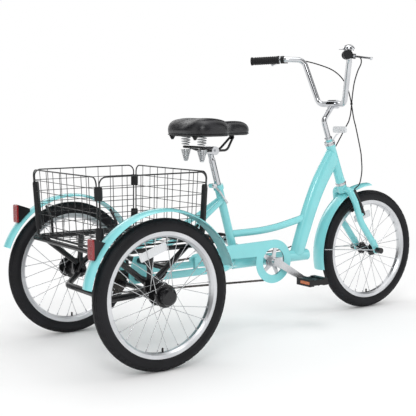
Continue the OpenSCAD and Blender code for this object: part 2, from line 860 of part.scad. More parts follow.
module valve() {
    translate([rim_in_r - valve_len, 0, 0]) rotate([0, 90, 0])
        cylinder(h = valve_len + 9, d = valve_d);
    translate([rim_in_r - valve_len - 1, 0, 0]) rotate([0, 90, 0])
        cylinder(h = 12, d = valve_d + 2);
}

module rim(c) {
    w = rim_w / 2;
    wheel_plane(c) difference() {
        rotate_extrude() difference() {
            polygon([[rim_r, w], [rim_r, w - rim_wall], [rim_r - 8, w - rim_wall],
                    [rim_r - 10, w - 7], [rim_r - 10, 7 - w], [rim_r - 8, rim_wall - w],
                    [rim_r, rim_wall - w], [rim_r, -w], [rim_r - 13, -w],
                    [rim_in_r, -w / 2], [rim_in_r, w / 2], [rim_r - 13, w]]);
            polygon([[rim_r - 12, 6 - w], [rim_r - 12, w - 6],
                    [rim_in_r + 1.6, w / 2 - 1.4], [rim_in_r + 1.6, 1.4 - w / 2]]);
        }
        rotate([0, 0, 270]) translate([rim_in_r - 5, 0, 0]) rotate([0, 90, 0])
            cylinder(h = rim_depth, d = valve_d + 0.4);
    }
}

// Spokes leave the two flanges in turn, on both faces, and cross their neighbours
spoke_head = 2.5;
module spokes(c, flange_r, y_in, y_out) {
    half = spoke_count / 2;
    wheel_plane(c) for (i = [0 : spoke_count - 1]) {
        side = i % 2 == 0 ? y_in : y_out;
        lean = floor(i / 2) % 2 == 0 ? 1 : -1;
        at_rim = 360 * (i + 0.5) / spoke_count + 90;
        at_hub = at_rim + lean * 62;
        a = [flange_r * cos(at_hub), flange_r * sin(at_hub), side + lean * spoke_head];
        b = [(rim_in_r + 0.5) * cos(at_rim), (rim_in_r + 0.5) * sin(at_rim), 0];
        rod(a, b, spoke_d);
        rod(b - nipple_len * unit(b - a), b, nipple_d);
    }
}

module front_tyre() { color(black) tyre(front_axle); }
module front_rim() { color(silver) rim(front_axle); }
module front_spokes() { color(silver) spokes(front_axle, 21, -30, 30); }

module front_hub() {
    color(black) wheel_plane(front_axle) difference() {
        rotate_extrude() polygon([[0, -34], [16, -34], [16, -31.5], [25, -31.5],
                [25, -28.5], [16, -28.5], [13, -18], [13, 18], [16, 28.5], [25, 28.5],
                [25, 31.5], [16, 31.5], [16, 34], [0, 34]]);
        cylinder(h = 200, d = axle_front_d + 2 * run_gap, center = true);
    }
}

module front_axle() {
    color(chrome) rod(front_axle - [0, leg_y + 20, 0], front_axle + [0, leg_y + 20, 0],
        axle_front_d);
    color(black) both_sides() {
        difference() {
            rod(front_axle + [0, leg_y + 4, 0], front_axle + [0, leg_y + 30, 0], 24);
            rod(front_axle, front_axle + [0, leg_y + 20, 0], axle_front_d);
        }
        difference() {
            rod(front_axle + [0, 36, 0], front_axle + [0, leg_y - 3.2, 0], 18);
            rod(front_axle, front_axle + [0, leg_y + 20, 0], axle_front_d);
        }
    }
}

right_c = [0, -hub_y, axle_z];
left_c = [0, hub_y, axle_z];

module right_tyre() { color(black) tyre(right_c); }
module right_rim() { color(silver) rim(right_c); }
module right_spokes() { color(silver) spokes(right_c, 34, -22, 22); }
module left_tyre() { color(black) tyre(left_c); }
module left_rim() { color(silver) rim(left_c); }
module left_spokes() { color(silver) spokes(left_c, 34, -22, 22); }

// A rear hub: a drum with two flanges and a domed outer cap, along +Z from its inner end
module rear_hub_body(bore) {
    y0 = hub_in - hub_y;
    y1 = hub_out - hub_y;
    difference() {
        rotate_extrude() polygon([[0, y0], [22, y0], [26, y0 + 8], [26, -25], [38, -25],
                [38, -19], [27, -19], [27, 19], [38, 19], [38, 25], [28, 26],
                [28, y1 - 14], [29, y1 - 12], [29, y1], [27, y1 + 5],
                [20, y1 + 9], [0, y1 + 9.5]]);
        translate([0, 0, y0 - 1]) cylinder(h = y1 - y0 + 5, d = bore);
    }
}

module right_hub() {
    color(black) wheel_plane(right_c) rear_hub_body(axle_d);
}

module left_hub() {
    color(black) mirror([0, 1, 0]) wheel_plane(right_c)
        rear_hub_body(axle_d + 2 * run_gap);
}

// A flat reflector lies between the two layers of spokes, near a right angle to them
module spoke_reflector(c, at, tilt, w) {
    t = 3.4;
    wheel_plane(c) translate([at.x, at.y, -t / 2]) rotate([0, 0, tilt]) {
        rounded_plate(w, 28, t - 0.6, 5);
        rounded_plate(w - 8, 20, t, 3);
    }
}

module front_spoke_reflector() {
    color(white) spoke_reflector(front_axle, [-28, 141], 14, 92);
}
module right_spoke_reflector() {
    color(white) spoke_reflector(right_c, [-30, 142], 19, 106);
}

// ---------- drive ----------

module drive_axle() {
    color(silver) rod([0, -hub_out - 2, axle_z], [0, hub_out + 2, axle_z], axle_d);
    color(chrome) {
        difference() {
            rod([0, 26, axle_z], [0, 44, axle_z], drum_d);
            rod([0, 20, axle_z], [0, 50, axle_z], axle_d - 1);
            rod([0, 29, axle_z], [0, 50, axle_z], drum_d - 8);
        }
        hollow_rod([0, 22, axle_z], [0, 44, axle_z], 34, axle_d - 1);
    }
}

module toothed_ring(teeth, pitch_r, t) {
    tip_r = pitch_r - chain_h / 2 - 0.6;
    root_r = tip_r - 4.2;
    linear_extrude(t, center = true) polygon([for (i = [0 : teeth - 1], k = [0 : 3])
        let (a = 360 * (i + [-0.30, -0.12, 0.12, 0.30][k]) / teeth,
            r = k == 1 || k == 2 ? tip_r : root_r)
        [r * cos(a), r * sin(a)]]);
}

module rear_sprocket() {
    color(silver) wheel_plane([0, chain_y, axle_z]) difference() {
        union() {
            toothed_ring(sprocket_teeth, sprocket_pitch_r, 2.4);
            translate([0, 0, -10]) cylinder(h = 9, d = 34);
        }
        cylinder(h = 60, d = axle_d, center = true);
    }
}

module chainring() {
    color(chrome) wheel_plane([crank_x, chain_y, boom_z]) {
        difference() {
            toothed_ring(ring_teeth, ring_pitch_r, 2.4);
            cylinder(h = 10, r = ring_pitch_r - 18, center = true);
        }
        difference() {
            translate([0, 0, 0.2]) linear_extrude(4) difference() {
                union() {
                    circle(r = 21);
                    for (k = [0 : 4]) rotate(crank_rest + 36 + 72 * k)
                        polygon([[10, -10], [ring_pitch_r - 13, -6],
                                [ring_pitch_r - 13, 6], [10, 10]]);
                }
                circle(d = spindle_d);
            }
            for (k = [0 : 4]) rotate([0, 0, crank_rest + 36 + 72 * k])
                translate([ring_pitch_r - 16.5, 0, 0]) cylinder(h = 20, d = 5);
        }
    }
}

module cranks() {
    color(chrome) {
        rod([crank_x, spindle_r_end, boom_z], [crank_x, spindle_l_end, boom_z], spindle_d);
        crank_arm(spindle_r_end + arm_t, 1, crank_rest);
        crank_arm(spindle_l_end, -1, crank_rest + 180);
    }
}

module crank_arm(y, side, angle) {
    wheel_plane([crank_x, y, boom_z]) rotate([0, 0, angle]) difference() {
        union() {
            cylinder(h = arm_t, d = 36);
            translate([crank_len, 0, 0]) cylinder(h = arm_t, d = 26);
            linear_extrude(arm_t) polygon([[0, -15], [crank_len, -10.5],
                    [crank_len, 10.5], [0, 15]]);
        }
        cylinder(h = 3 * arm_t, d = spindle_d, center = true);
        translate([crank_len, 0, 0]) cylinder(h = 3 * arm_t, d = pedal_pin_d
            + 2 * run_gap, center = true);
    }
}

function pedal_c(angle, y) = [crank_x + crank_len * cos(angle), y,
    boom_z + crank_len * sin(angle)];

// A pedal: a block with two treads, and its pin in the crank arm
module pedal(angle, y_arm, side) {
    c = pedal_c(angle, y_arm);
    translate(c) scale([1, side, 1]) {
        color(chrome) rod([0, -arm_t - 1, 0], [0, 12, 0], pedal_pin_d);
        color(black) difference() {
            union() {
                rod([0, pedal_gap + 1, 0], [0, pedal_w + 3, 0], 25);
                for (s = [-1, 1]) translate([s * (pedal_len / 2 - 11) - 11, 4, -pedal_h / 2])
                    cube([22, pedal_w, pedal_h]);
                for (y = [4, pedal_w / 2 - 3, pedal_w - 6])
                    translate([-pedal_len / 2 + 6, y, -pedal_h / 2 + 3])
                        cube([pedal_len - 12, 10, pedal_h - 6]);
            }
            for (s = [-1, 1]) translate([s * (pedal_len / 2 - 1) - 3, 22, -7])
                cube([6, 60, 14]);
            rod([0, -1, 0], [0, 12, 0], pedal_pin_d);
        }
        color("orange") for (s = [-1, 1])
            translate([s * (pedal_len / 2 - 2.6) - 1.4, 22.2, -6.8]) cube([2.8, 59.6, 13.6]);
    }
}

module right_pedal() { pedal(crank_rest, spindle_r_end, -1); }
module left_pedal() { pedal(crank_rest + 180, spindle_l_end, 1); }

// The chain lies round both toothed rings; the taut runs are their outer tangents
function tangent_tilt() = asin((ring_pitch_r - sprocket_pitch_r)
    / norm([crank_x, boom_z - axle_z]));
axis_tilt = atan2(boom_z - axle_z, crank_x);

module chain_outline(grow) {
    a = tangent_tilt();
    big = ring_pitch_r + grow;
    small = sprocket_pitch_r + grow;
    far = norm([crank_x, boom_z - axle_z]);
    rotate(axis_tilt) {
        circle(r = small);
        translate([far, 0]) circle(r = big);
        polygon([[-small * sin(a), small * cos(a)], [far - big * sin(a), big * cos(a)],
                [far - big * sin(a), -big * cos(a)], [-small * sin(a), -small * cos(a)]]);
    }
}

module chain() {
    color(black) wheel_plane([0, chain_y, axle_z]) difference() {
        linear_extrude(chain_w, center = true) chain_outline(chain_h / 2);
        linear_extrude(chain_w + 2, center = true) chain_outline(-chain_h / 2);
    }
}

guard_ring_r = 85;
guard_window_r = 53;
guard_y = chain_y - chain_w / 2 - 3;
guard_t = 2;

module chain_guard() {
    color(mint) wheel_plane([0, guard_y, 0]) linear_extrude(guard_t) difference() {
        union() {
            translate([crank_x, boom_z]) circle(r = guard_ring_r);
            polygon([[crank_x - 10, boom_z + guard_ring_r - 0.6], [470, 338], [343, 326],
                    [300, 318], [284, 306], [284, 296], [300, 289], [600, 283],
                    [crank_x - 70, boom_z + 4], [crank_x, boom_z]]);
        }
        translate([crank_x, boom_z]) circle(r = guard_window_r);
    }
    color(silver) guard_mount();
}

// A bracket from the right chain stay up to the guard's tail
module guard_mount() {
    difference() {
        translate([300, -stay_y, boom_z]) cube([12, stay_y + guard_y - guard_t, 52]);
        rod([100, -stay_y, boom_z - 1], [428, -stay_y, boom_z - 1], chain_stay_d + 1);
    }
}

// ---------- rear carriage ----------

cross_low = [bracket_x - 6, axle_z + 12];
cross_high = [bracket_x + 2, brace_z];
cross_low_d = 24;
cross_high_d = 20;
rail_z = basket_z - 13;

// The two tubes that cross from plate to plate, as solid bars
module cross_tubes(extra) {
    rod([cross_low.x, -plate_y + 6, cross_low.y],
        [cross_low.x, plate_y - 6, cross_low.y], cross_low_d + extra);
    rod([cross_high.x, -plate_y + 10, cross_high.y],
        [cross_high.x, plate_y - 10, cross_high.y], cross_high_d + extra);
}

module axle_bearings() {
    color(black) both_sides() difference() {
        union() {
            rod([0, plate_y - 14, axle_z], [0, plate_y + 14, axle_z], bearing_d + 12);
            translate([-26, plate_y - 5, axle_z]) cube([52, 10, 44]);
        }
        rod([0, plate_y - 20, axle_z], [0, plate_y + 20, axle_z], axle_d + 2 * run_gap);
    }
}

module axle_carriage() {
    color(black) difference() {
        union() {
            both_sides() {
                y = plate_y - 12;
                rod([-14, y, axle_z + 30], [-146, y, rail_z], 20);
                rod([0, y, axle_z + 30], [6, y, rail_z], 20);
                rod([14, y, axle_z + 30], [148, y, rail_z], 20);
                rod([-176, y, rail_z], [222, y, rail_z], 16);
                for (x = guard_strut_x) guard_strut(x);
            }
            cross_tubes(0);
            both_sides() rod([cross_low.x, plate_y - 52, cross_low.y],
                [cross_low.x + 4, plate_y - 12, cross_low.y + 49], 20);
            bent_tube([[10, -plate_y + 12, axle_z + 34], [-20, -plate_y + 30, axle_z - 10],
                    [-96, -loop_y, axle_z - 32], [-96, loop_y, axle_z - 32],
                    [-20, plate_y - 30, axle_z - 10], [10, plate_y - 12, axle_z + 34]],
                [24, 30, 30, 24], 22);
            rod([-176, -plate_y + 12, rail_z], [-176, plate_y - 12, rail_z], 16);
            rod([222, -plate_y + 12, rail_z], [222, plate_y - 12, rail_z], 16);
        }
        both_sides() bearing_pockets();
        seat_stay_pair(2 * run_gap);
    }
}
loop_y = 160;
guard_strut_x = [-108, 160];

// A strut from the side rail out to the mudguard's inner edge
module guard_strut(x) {
    r = guard_in_r - 6;
    top = axle_z + sqrt(r * r - x * x);
    y = plate_y - 12;
    difference() {
        bent_tube([[x, y, rail_z], [x, y + 6, top - 44], [x, hub_y - mudguard_w / 2 + 3, top]],
            [24], 10);
        wheel_plane([0, hub_y, axle_z]) difference() {
            cylinder(h = 200, r = guard_in_r + 60, center = true);
            cylinder(h = 210, r = guard_in_r, center = true);
        }
    }
}

module bearing_pockets() {
    translate([-27, plate_y - 6, axle_z - 40]) cube([54, 40, 90]);
    rod([0, plate_y - 15, axle_z], [0, plate_y + 30, axle_z], bearing_d + 13);
    rod([0, 0, axle_z], [0, 2 * plate_y, axle_z], axle_d + 8);
}

// ---------- rear brake ----------

// The band goes round the drum; a lug holds it to the low cross tube
module rear_brake_band() {
    color(black) difference() {
        union() {
            rod([0, 30, axle_z], [0, 42, axle_z], band_d);
            translate([-8, 30, axle_z + 34]) cube([16, 12, 24]);
            translate([0, 30, axle_z + 4]) cube([cross_low.x, 12, 14]);
        }
        rod([0, 20, axle_z], [0, 60, axle_z], drum_d + 2 * free_gap);
        cross_tubes(2 * run_gap);
        rod([0, 20, rear_arm_z], [0, 60, rear_arm_z], rear_pin_d + 2 * run_gap);
    }
}

module rear_brake_arm() {
    color(silver) {
        rod([0, 31, rear_arm_z], [0, 48, rear_arm_z], rear_pin_d);
        translate([0, 45.4, rear_arm_z]) rotate([90, 0, 0]) {
            cylinder(h = 3, d = 12);
            translate([0, -5, 0]) cube([rear_arm_x, 10, 3]);
        }
    }
}

// ---------- basket ----------

// One side panel of wire: a rim rod with round upper corners, uprights and cross rods.
// It is drawn in its own plane: X along the panel, Y up, with Z outward.
module wire_panel(top_w, low_w, h, uprights, cross_rods, tilt) {
    top = h - rim_rod_d / 2;
    bent_tube([[-low_w / 2, 0, 0], [-top_w / 2, top, 0], [top_w / 2, top, 0],
            [low_w / 2, 0, 0]], [corner_r, corner_r], rim_rod_d);
    rod([-low_w / 2, 0, 0], [low_w / 2, 0, 0], mesh_rod_d + 1);
    for (i = [1 : uprights]) {
        f = 2 * i / (uprights + 1) - 1;
        rod([f * low_w / 2, 0, -mesh_step], [f * top_w / 2, top, -mesh_step], mesh_rod_d);
    }
    for (k = [1 : cross_rods]) {
        z = k * h / (cross_rods + 1);
        w = blend(low_w, top_w, z / h);
        rod([-w / 2, z, mesh_step], [w / 2, z, mesh_step], mesh_rod_d);
    }
}

module standing(x, y, turn) {
    translate([x, y, basket_z]) rotate([0, 0, turn]) rotate([90, 0, 0]) children();
}

module basket() {
    color(black) {
        lean = atan(basket_taper / basket_h);
        for (s = [-1, 1]) {
            standing(basket_mid_x, s * (basket_w / 2 - basket_taper), s > 0 ? 180 : 0)
                rotate([lean, 0, 0])
                    wire_panel(basket_len - 14, basket_len - 34, basket_h, 7, 5);
            standing(basket_mid_x + s * (basket_len / 2 - basket_taper), 0,
                s > 0 ? 90 : 270) rotate([lean, 0, 0])
                    wire_panel(basket_w - 14, basket_w - 34, basket_h, 8, 5);
        }
        basket_floor();
    }
}

module basket_floor() {
    l = basket_len / 2 - basket_taper - 8;
    w = basket_w / 2 - basket_taper - 8;
    z = basket_z + 1;
    bent_tube([[basket_mid_x, -w, z], [basket_mid_x + l, -w, z], [basket_mid_x + l, w, z],
            [basket_mid_x - l, w, z], [basket_mid_x - l, -w, z], [basket_mid_x, -w, z]],
        [16, 16, 16, 16], rim_rod_d);
    for (i = [1 : 8]) {
        y = w * (2 * i / 9 - 1);
        rod([basket_mid_x - l, y, z + mesh_step], [basket_mid_x + l, y, z + mesh_step],
            mesh_rod_d);
    }
    for (i = [1 : 5]) {
        x = basket_mid_x + l * (2 * i / 6 - 1);
        rod([x, -w, z - mesh_step], [x, w, z - mesh_step], mesh_rod_d);
    }
}

// Flat sleeves and clips that hold the panels together at the corners
module basket_clips() {
    color(black) for (sx = [-1, 1], sy = [-1, 1]) {
        if (sx != sy) corner_clip(sx, sy, 20, 190);
        else if (sx < 0) corner_clip(sx, sy, 160, 200);
        else {
            corner_clip(sx, sy, 160, 195);
            corner_clip(sx, sy, 31, 66);
        }
    }
}

// A plate across a corner, just outside the two panels' end rods, from z0 to z1 above
// the basket's floor
module corner_clip(sx, sy, z0, z1) {
    out = unit([sx, sy, 0]) * (rim_rod_d / 2 + clip_t / 2 + 0.3);
    a = corner_at(sx, sy, z0) + out;
    b = corner_at(sx, sy, z1) + out;
    along(a, b, [sx, -sy, 0]) translate([-clip_w / 2, -clip_t / 2, 0])
        cube([clip_w, clip_t, norm(b - a)]);
}
clip_w = 18;
clip_t = 2.5;

// The middle between two neighbouring panels' end rods, at a height above the floor
function corner_at(sx, sy, z) = let (f = basket_taper * (z / basket_h - 1))
    [basket_mid_x + sx * (basket_len / 2 - 3.5 + f),
        sy * (basket_w / 2 - 3.5 + f), basket_z + z];

// ---------- saddle ----------

module seat_post() {
    foot = seat_top + (post_out - post_len) * seat_dir;
    color(chrome) {
        along(foot, post_top) rotate_extrude() polygon([[0, 0], [post_d / 2, 0],
            [post_d / 2, post_len - 26], [11.1, post_len - 18],
            [11.1, post_len + 12], [0, post_len + 12]]);
        difference() {
            union() {
                rod(saddle_clamp - [0, 34, 0], saddle_clamp + [0, 34, 0], 32);
                rod(saddle_clamp - [0, 40, 0], saddle_clamp + [0, 40, 0], 9);
            }
            both_sides() saddle_rail(2 * run_gap);
        }
    }
}
saddle_clamp = post_top + [0, 0, 11];

module seat_clamp() {
    color(mint) difference() {
        union() {
            rod(seat_top - 13 * seat_dir, seat_top + 5 * seat_dir, seat_tube_d + 8);
            translate(seat_top - 4 * seat_dir + [-26, 0, 6]) cube([20, 20, 15], center = true);
        }
        rod(seat_top - 30 * seat_dir, seat_top, seat_tube_d);
        rod(seat_top - 30 * seat_dir, seat_top + 30 * seat_dir, post_d + 4 * run_gap);
        translate(seat_top - 4 * seat_dir + [-31, 0, 6]) cube([32, 3, 40], center = true);
        rod(lever_pivot + [0, -40, 0], lever_pivot + [0, 40, 0], 6 + 2 * run_gap);
    }
}
lever_pivot = seat_top - 4 * seat_dir + [-29, 0, 6];

module seat_lever() {
    color(silver) {
        rod(lever_pivot + [0, -16, 0], lever_pivot + [0, 14, 0], 6);
        rod(lever_pivot + [0, -22, 0], lever_pivot + [0, -12.4, 0], 16);
        rod(lever_pivot + [0, 10.6, 0], lever_pivot + [0, 15, 0], 14);
        bent_tube([lever_pivot + [0, -17, 0], lever_pivot + [16, -26, -20],
                lever_pivot + [50, -28, -66]], [14], 8);
    }
}

module saddle_pad() {
    back = saddle_nose_x - saddle_len;
    half = saddle_w / 2;
    color(black) {
        translate([0, 0, saddle_base_z]) {
            hull() {
                for (s = [-1, 1]) {
                    translate([back + 52, s * (half - 50), 0]) puck(50, saddle_h);
                    translate([back + 118, s * (half - 42), 0]) puck(40, saddle_h);
                }
                translate([back + 150, 0, 0]) puck(56, saddle_h - 4);
            }
            hull() {
                translate([back + 130, 0, 0]) puck(54, saddle_h - 5);
                translate([saddle_nose_x - 33, 0, 6]) puck(33, saddle_h - 14);
            }
        }
        difference() {
            translate(saddle_pivot - [8, 3.5, 8]) cube([16, 7, 25]);
            rod(saddle_pivot - [0, 20, 0], saddle_pivot + [0, 20, 0], 6 + 2 * run_gap);
        }
    }
}

// A round cushion with rounded edges: the building block of the saddle's shape
module puck(r, h) {
    e = min(0.7 * r, 0.46 * h);
    rotate_extrude($fn = 28) {
        translate([0, 6]) square([r - 5, h - 6 - e]);
        square([r - 6, 8]);
        translate([r - 6, 6]) circle(6, $fn = 12);
        intersection() {
            translate([r - e, h - e]) circle(e, $fn = 20);
            translate([0, h - e - 1]) square([r, e + 1]);
        }
        square([r - e, h]);
    }
}

// One of the two rails, from the nose's pin through the clamp to the springs' crossbar
module saddle_rail(extra) {
    bent_tube([[saddle_pivot.x, 9, saddle_pivot.z], [saddle_clamp.x + 58, rail_y,
            saddle_clamp.z], [saddle_clamp.x - 34, rail_y, saddle_clamp.z],
            [spring_x, 34, bar_z]], [30, 14], 9 + extra);
}
bar_z = 706;

module saddle_frame() {
    color(black) {
        both_sides() saddle_rail(0);
        rod([spring_x, -66, bar_z], [spring_x, 66, bar_z], 10);
        rod(saddle_pivot - [0, 14, 0], saddle_pivot + [0, 14, 0], 6);
    }
}

// Above the crossbar short coils carry the cushion; below it long ones taper to a point
module saddle_springs() {
    color(chrome) both_sides() {
        translate([spring_x, spring_y, bar_z + 7.6]) coil(14, 17, 31.5, 3, 4);
        translate([spring_x, spring_y, bar_z - 52]) coil(6, 18, 44, 5, 4);
    }
}

// ---------- assembly ----------

module place() {
    translate([-mid_x, 0, 0]) children();
}

place() head_and_down_tube();
place() bottom_tube_and_stays();
place() seat_and_top_tube();
place() seat_stays();
place() bearing_cups();
place() fork();
place() stem();
place() handlebar();
place() grips();
place() right_brake_lever();
place() left_brake_lever();
place() lever_brackets();
place() bell();
place() bell_lever();
place() front_reflector();
place() front_brake_cable();
place() rear_brake_cable_loop();
place() rear_brake_cable();
place() right_brake_arm();
place() left_brake_arm();
place() front_mudguard();
place() front_mudguard_stays();
place() front_tyre();
place() front_rim();
place() front_spokes();
place() front_hub();
place() front_axle();
place() right_tyre();
place() right_rim();
place() right_spokes();
place() right_hub();
place() left_tyre();
place() left_rim();
place() left_spokes();
place() left_hub();
place() front_spoke_reflector();
place() right_spoke_reflector();
place() drive_axle();
place() rear_sprocket();
place() axle_bearings();
place() rear_brake_band();
place() rear_brake_arm();
place() chainring();
place() cranks();
place() right_pedal();
place() left_pedal();
place() chain();
place() chain_guard();
place() axle_carriage();
place() basket();
place() basket_clips();
place() rear_mudguards();
place() tail_lamp_shells();
place() tail_lenses();
place() saddle_pad();
place() saddle_frame();
place() saddle_springs();
place() seat_post();
place() seat_clamp();
place() seat_lever();
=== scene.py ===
"""Looks for an adult tricycle with three spoked wheels, a wire basket and a sprung saddle."""

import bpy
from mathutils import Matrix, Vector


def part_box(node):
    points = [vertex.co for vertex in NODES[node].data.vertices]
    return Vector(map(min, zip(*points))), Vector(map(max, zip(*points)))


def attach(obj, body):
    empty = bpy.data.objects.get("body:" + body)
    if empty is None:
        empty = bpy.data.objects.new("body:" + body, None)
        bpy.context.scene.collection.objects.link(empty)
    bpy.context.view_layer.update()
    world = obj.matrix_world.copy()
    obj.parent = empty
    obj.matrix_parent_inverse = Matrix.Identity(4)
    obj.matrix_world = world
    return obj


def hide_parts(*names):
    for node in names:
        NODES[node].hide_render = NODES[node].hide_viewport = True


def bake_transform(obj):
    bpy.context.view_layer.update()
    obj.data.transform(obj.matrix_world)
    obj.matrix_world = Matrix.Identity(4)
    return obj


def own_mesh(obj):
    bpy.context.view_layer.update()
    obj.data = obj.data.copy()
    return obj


bl_info = {
    "name": "Adult Tricycle Looks",
    "version": (1, 0, 0),
    "blender": (4, 5, 0),
    "location": "View3D > Sidebar > Tricycle",
    "description": "Finishes and fine detail for a step-through adult tricycle",
    "category": "Object",
}

import math

import bmesh
import bpy
import numpy as np
from bpy.props import (
    FloatProperty,
    FloatVectorProperty,
    IntProperty,
    PointerProperty,
)
from mathutils import Matrix, Vector

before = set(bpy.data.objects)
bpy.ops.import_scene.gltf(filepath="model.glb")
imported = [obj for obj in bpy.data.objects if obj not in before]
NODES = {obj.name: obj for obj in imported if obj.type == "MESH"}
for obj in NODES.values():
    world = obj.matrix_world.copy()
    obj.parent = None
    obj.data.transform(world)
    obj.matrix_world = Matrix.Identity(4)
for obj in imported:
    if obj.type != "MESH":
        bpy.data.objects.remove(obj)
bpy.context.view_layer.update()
MM = 0.001
MID_X = 601.339  # the row's origin, ahead of the rear axle
WHEELS = {
    "front": ("front_wheel", (1230, 0, 250)),
    "right": ("driven_axle", (0, -328, 250)),
    "left": ("left_wheel", (0, 328, 250)),
}
TYRE_MID_R = 225.5
TYRE_R = 24.5

FINISHES = {
    "mint_paint": """head_and_down_tube bottom_tube_and_stays seat_and_top_tube seat_stays fork
        front_mudguard rear_mudguards chain_guard seat_clamp""",
    "chrome_plate": "bearing_cups stem handlebar bell bell_lever seat_post",
    "alloy": """front_rim right_rim left_rim right_brake_lever left_brake_lever seat_lever
        chainring""",
    "bright_steel": """front_spokes right_spokes left_spokes front_mudguard_stays cranks
        saddle_springs""",
    "tyre_rubber": "front_tyre right_tyre left_tyre",
    "black_rubber": "grips front_brake_cable rear_brake_cable_loop rear_brake_cable",
    "black_plastic": """lever_brackets right_pedal left_pedal basket_clips
        tail_lamp_shells""",
    "black_paint": """front_hub right_hub left_hub drive_axle axle_bearings rear_brake_band
        axle_carriage basket saddle_frame front_axle right_brake_arm left_brake_arm""",
    "dark_steel": "rear_sprocket chain rear_brake_arm",
    "red_lens": "tail_lenses",
    "white_reflector": "front_reflector front_spoke_reflector right_spoke_reflector",
    "saddle_cover": "saddle_pad",
}
SLOT_OF = {n: slot for slot, names in FINISHES.items() for n in names.split()}
COATS = {}


def row(x, y, z):
    """A point given in millimetres from the rear axle's foot, in the row frame in metres."""
    return Vector(((x - MID_X) * MM, y * MM, z * MM))


def rows(points):
    return [row(*p) for p in points]


# ---------- settings ----------


class TriPaintSettings(bpy.types.PropertyGroup):
    """Colours of the tricycle's finishes."""

    frame_colour: FloatVectorProperty(
        name="Frame paint", description="Colour of the frame and mudguards",
        subtype="COLOR", size=3, min=0, max=1, default=(0.245, 0.705, 0.735))
    rubber_colour: FloatVectorProperty(
        name="Tyre rubber", description="Colour of the tyres",
        subtype="COLOR", size=3, min=0, max=1, default=(0.006, 0.006, 0.0075))
    cover_colour: FloatVectorProperty(
        name="Saddle cover", description="Colour of the saddle's vinyl",
        subtype="COLOR", size=3, min=0, max=1, default=(0.005, 0.005, 0.0068))
    lens_colour: FloatVectorProperty(
        name="Tail lens", description="Colour of the tail lenses",
        subtype="COLOR", size=3, min=0, max=1, default=(0.50, 0.004, 0.010))
    amber_colour: FloatVectorProperty(
        name="Pedal reflector", description="Colour of the pedals' reflectors",
        subtype="COLOR", size=3, min=0, max=1, default=(0.80, 0.20, 0.01))


class TriSizeSettings(bpy.types.PropertyGroup):
    """Sizes of the parts that are made here."""

    tread_depth: FloatProperty(
        name="Tread depth", description="How far the tread blocks stand out",
        subtype="DISTANCE", unit="LENGTH", min=0.0005, max=0.003, default=0.0014)
    tread_steps: IntProperty(
        name="Tread steps", description="Tread pitches round each tyre",
        min=60, max=240, default=156)
    chain_pitch: FloatProperty(
        name="Chain pitch", description="Distance from one chain pin to the next",
        subtype="DISTANCE", unit="LENGTH", min=0.009, max=0.016, default=0.0127)
    weld_size: FloatProperty(
        name="Weld bead", description="Radius of the weld beads at the tube joints",
        subtype="DISTANCE", unit="LENGTH", min=0.001, max=0.004, default=0.0021)
    saddle_puff: FloatProperty(
        name="Saddle fill", description="How full the saddle's padding is",
        min=0, max=1, default=0.85)
    piping_size: FloatProperty(
        name="Saddle piping", description="Radius of the bead round the saddle's edge",
        subtype="DISTANCE", unit="LENGTH", min=0.001, max=0.004, default=0.0021)
    spring_turns: IntProperty(
        name="Spring turns", description="Turns of wire in each lower cone spring",
        min=4, max=11, default=10)


def paints():
    return bpy.context.scene.tri_paints


def sizes():
    return bpy.context.scene.tri_sizes


# ---------- shader building ----------


class Shade:
    """Adds and links the nodes of one shader or geometry tree."""

    def __init__(self, tree):
        self.tree = tree

    def add(self, kind, links=None, **settings):
        node = self.tree.nodes.new(kind)
        for name, value in settings.items():
            setattr(node, name, value)
        for socket, value in (links or {}).items():
            target = node.inputs[socket]
            if isinstance(value, bpy.types.NodeSocket):
                self.tree.links.new(value, target)
            else:
                target.default_value = value
        return node

    def math(self, operation, a, b=0.0, c=0.0):
        return self.add("ShaderNodeMath", {0: a, 1: b, 2: c}, operation=operation).outputs[0]

    def spread(self, value, low, high, to_low, to_high):
        return self.add("ShaderNodeMapRange", {
            "Value": value, "From Min": low, "From Max": high,
            "To Min": to_low, "To Max": to_high}).outputs["Result"]

    def blend(self, share, a, b):
        node = self.add("ShaderNodeMix", data_type="RGBA")
        for socket, value in ((0, share), (6, a), (7, b)):
            if isinstance(value, bpy.types.NodeSocket):
                self.tree.links.new(value, node.inputs[socket])
            else:
                node.inputs[socket].default_value = value
        return node.outputs[2]

    def place(self, scale=(1, 1, 1), turn=(0, 0, 0), centre=(0, 0, 0)):
        where = self.add("ShaderNodeTexCoord").outputs["Object"]
        return self.add("ShaderNodeMapping", {
            "Vector": where, "Scale": scale, "Rotation": turn,
            "Location": centre}).outputs[0]


def effect(name, inputs, outputs):
    """A shader node group with named sockets: (tree's Shade, input node, output node)."""
    tree = bpy.data.node_groups.new(name, "ShaderNodeTree")
    kinds = {"c": "NodeSocketColor", "f": "NodeSocketFloat", "v": "NodeSocketVector"}
    for label, kind, value in inputs:
        socket = tree.interface.new_socket(label, in_out="INPUT", socket_type=kinds[kind])
        if value is not None:
            socket.default_value = value
    for label, kind in outputs:
        tree.interface.new_socket(label, in_out="OUTPUT", socket_type=kinds[kind])
    s = Shade(tree)
    return s, s.add("NodeGroupInput"), s.add("NodeGroupOutput")


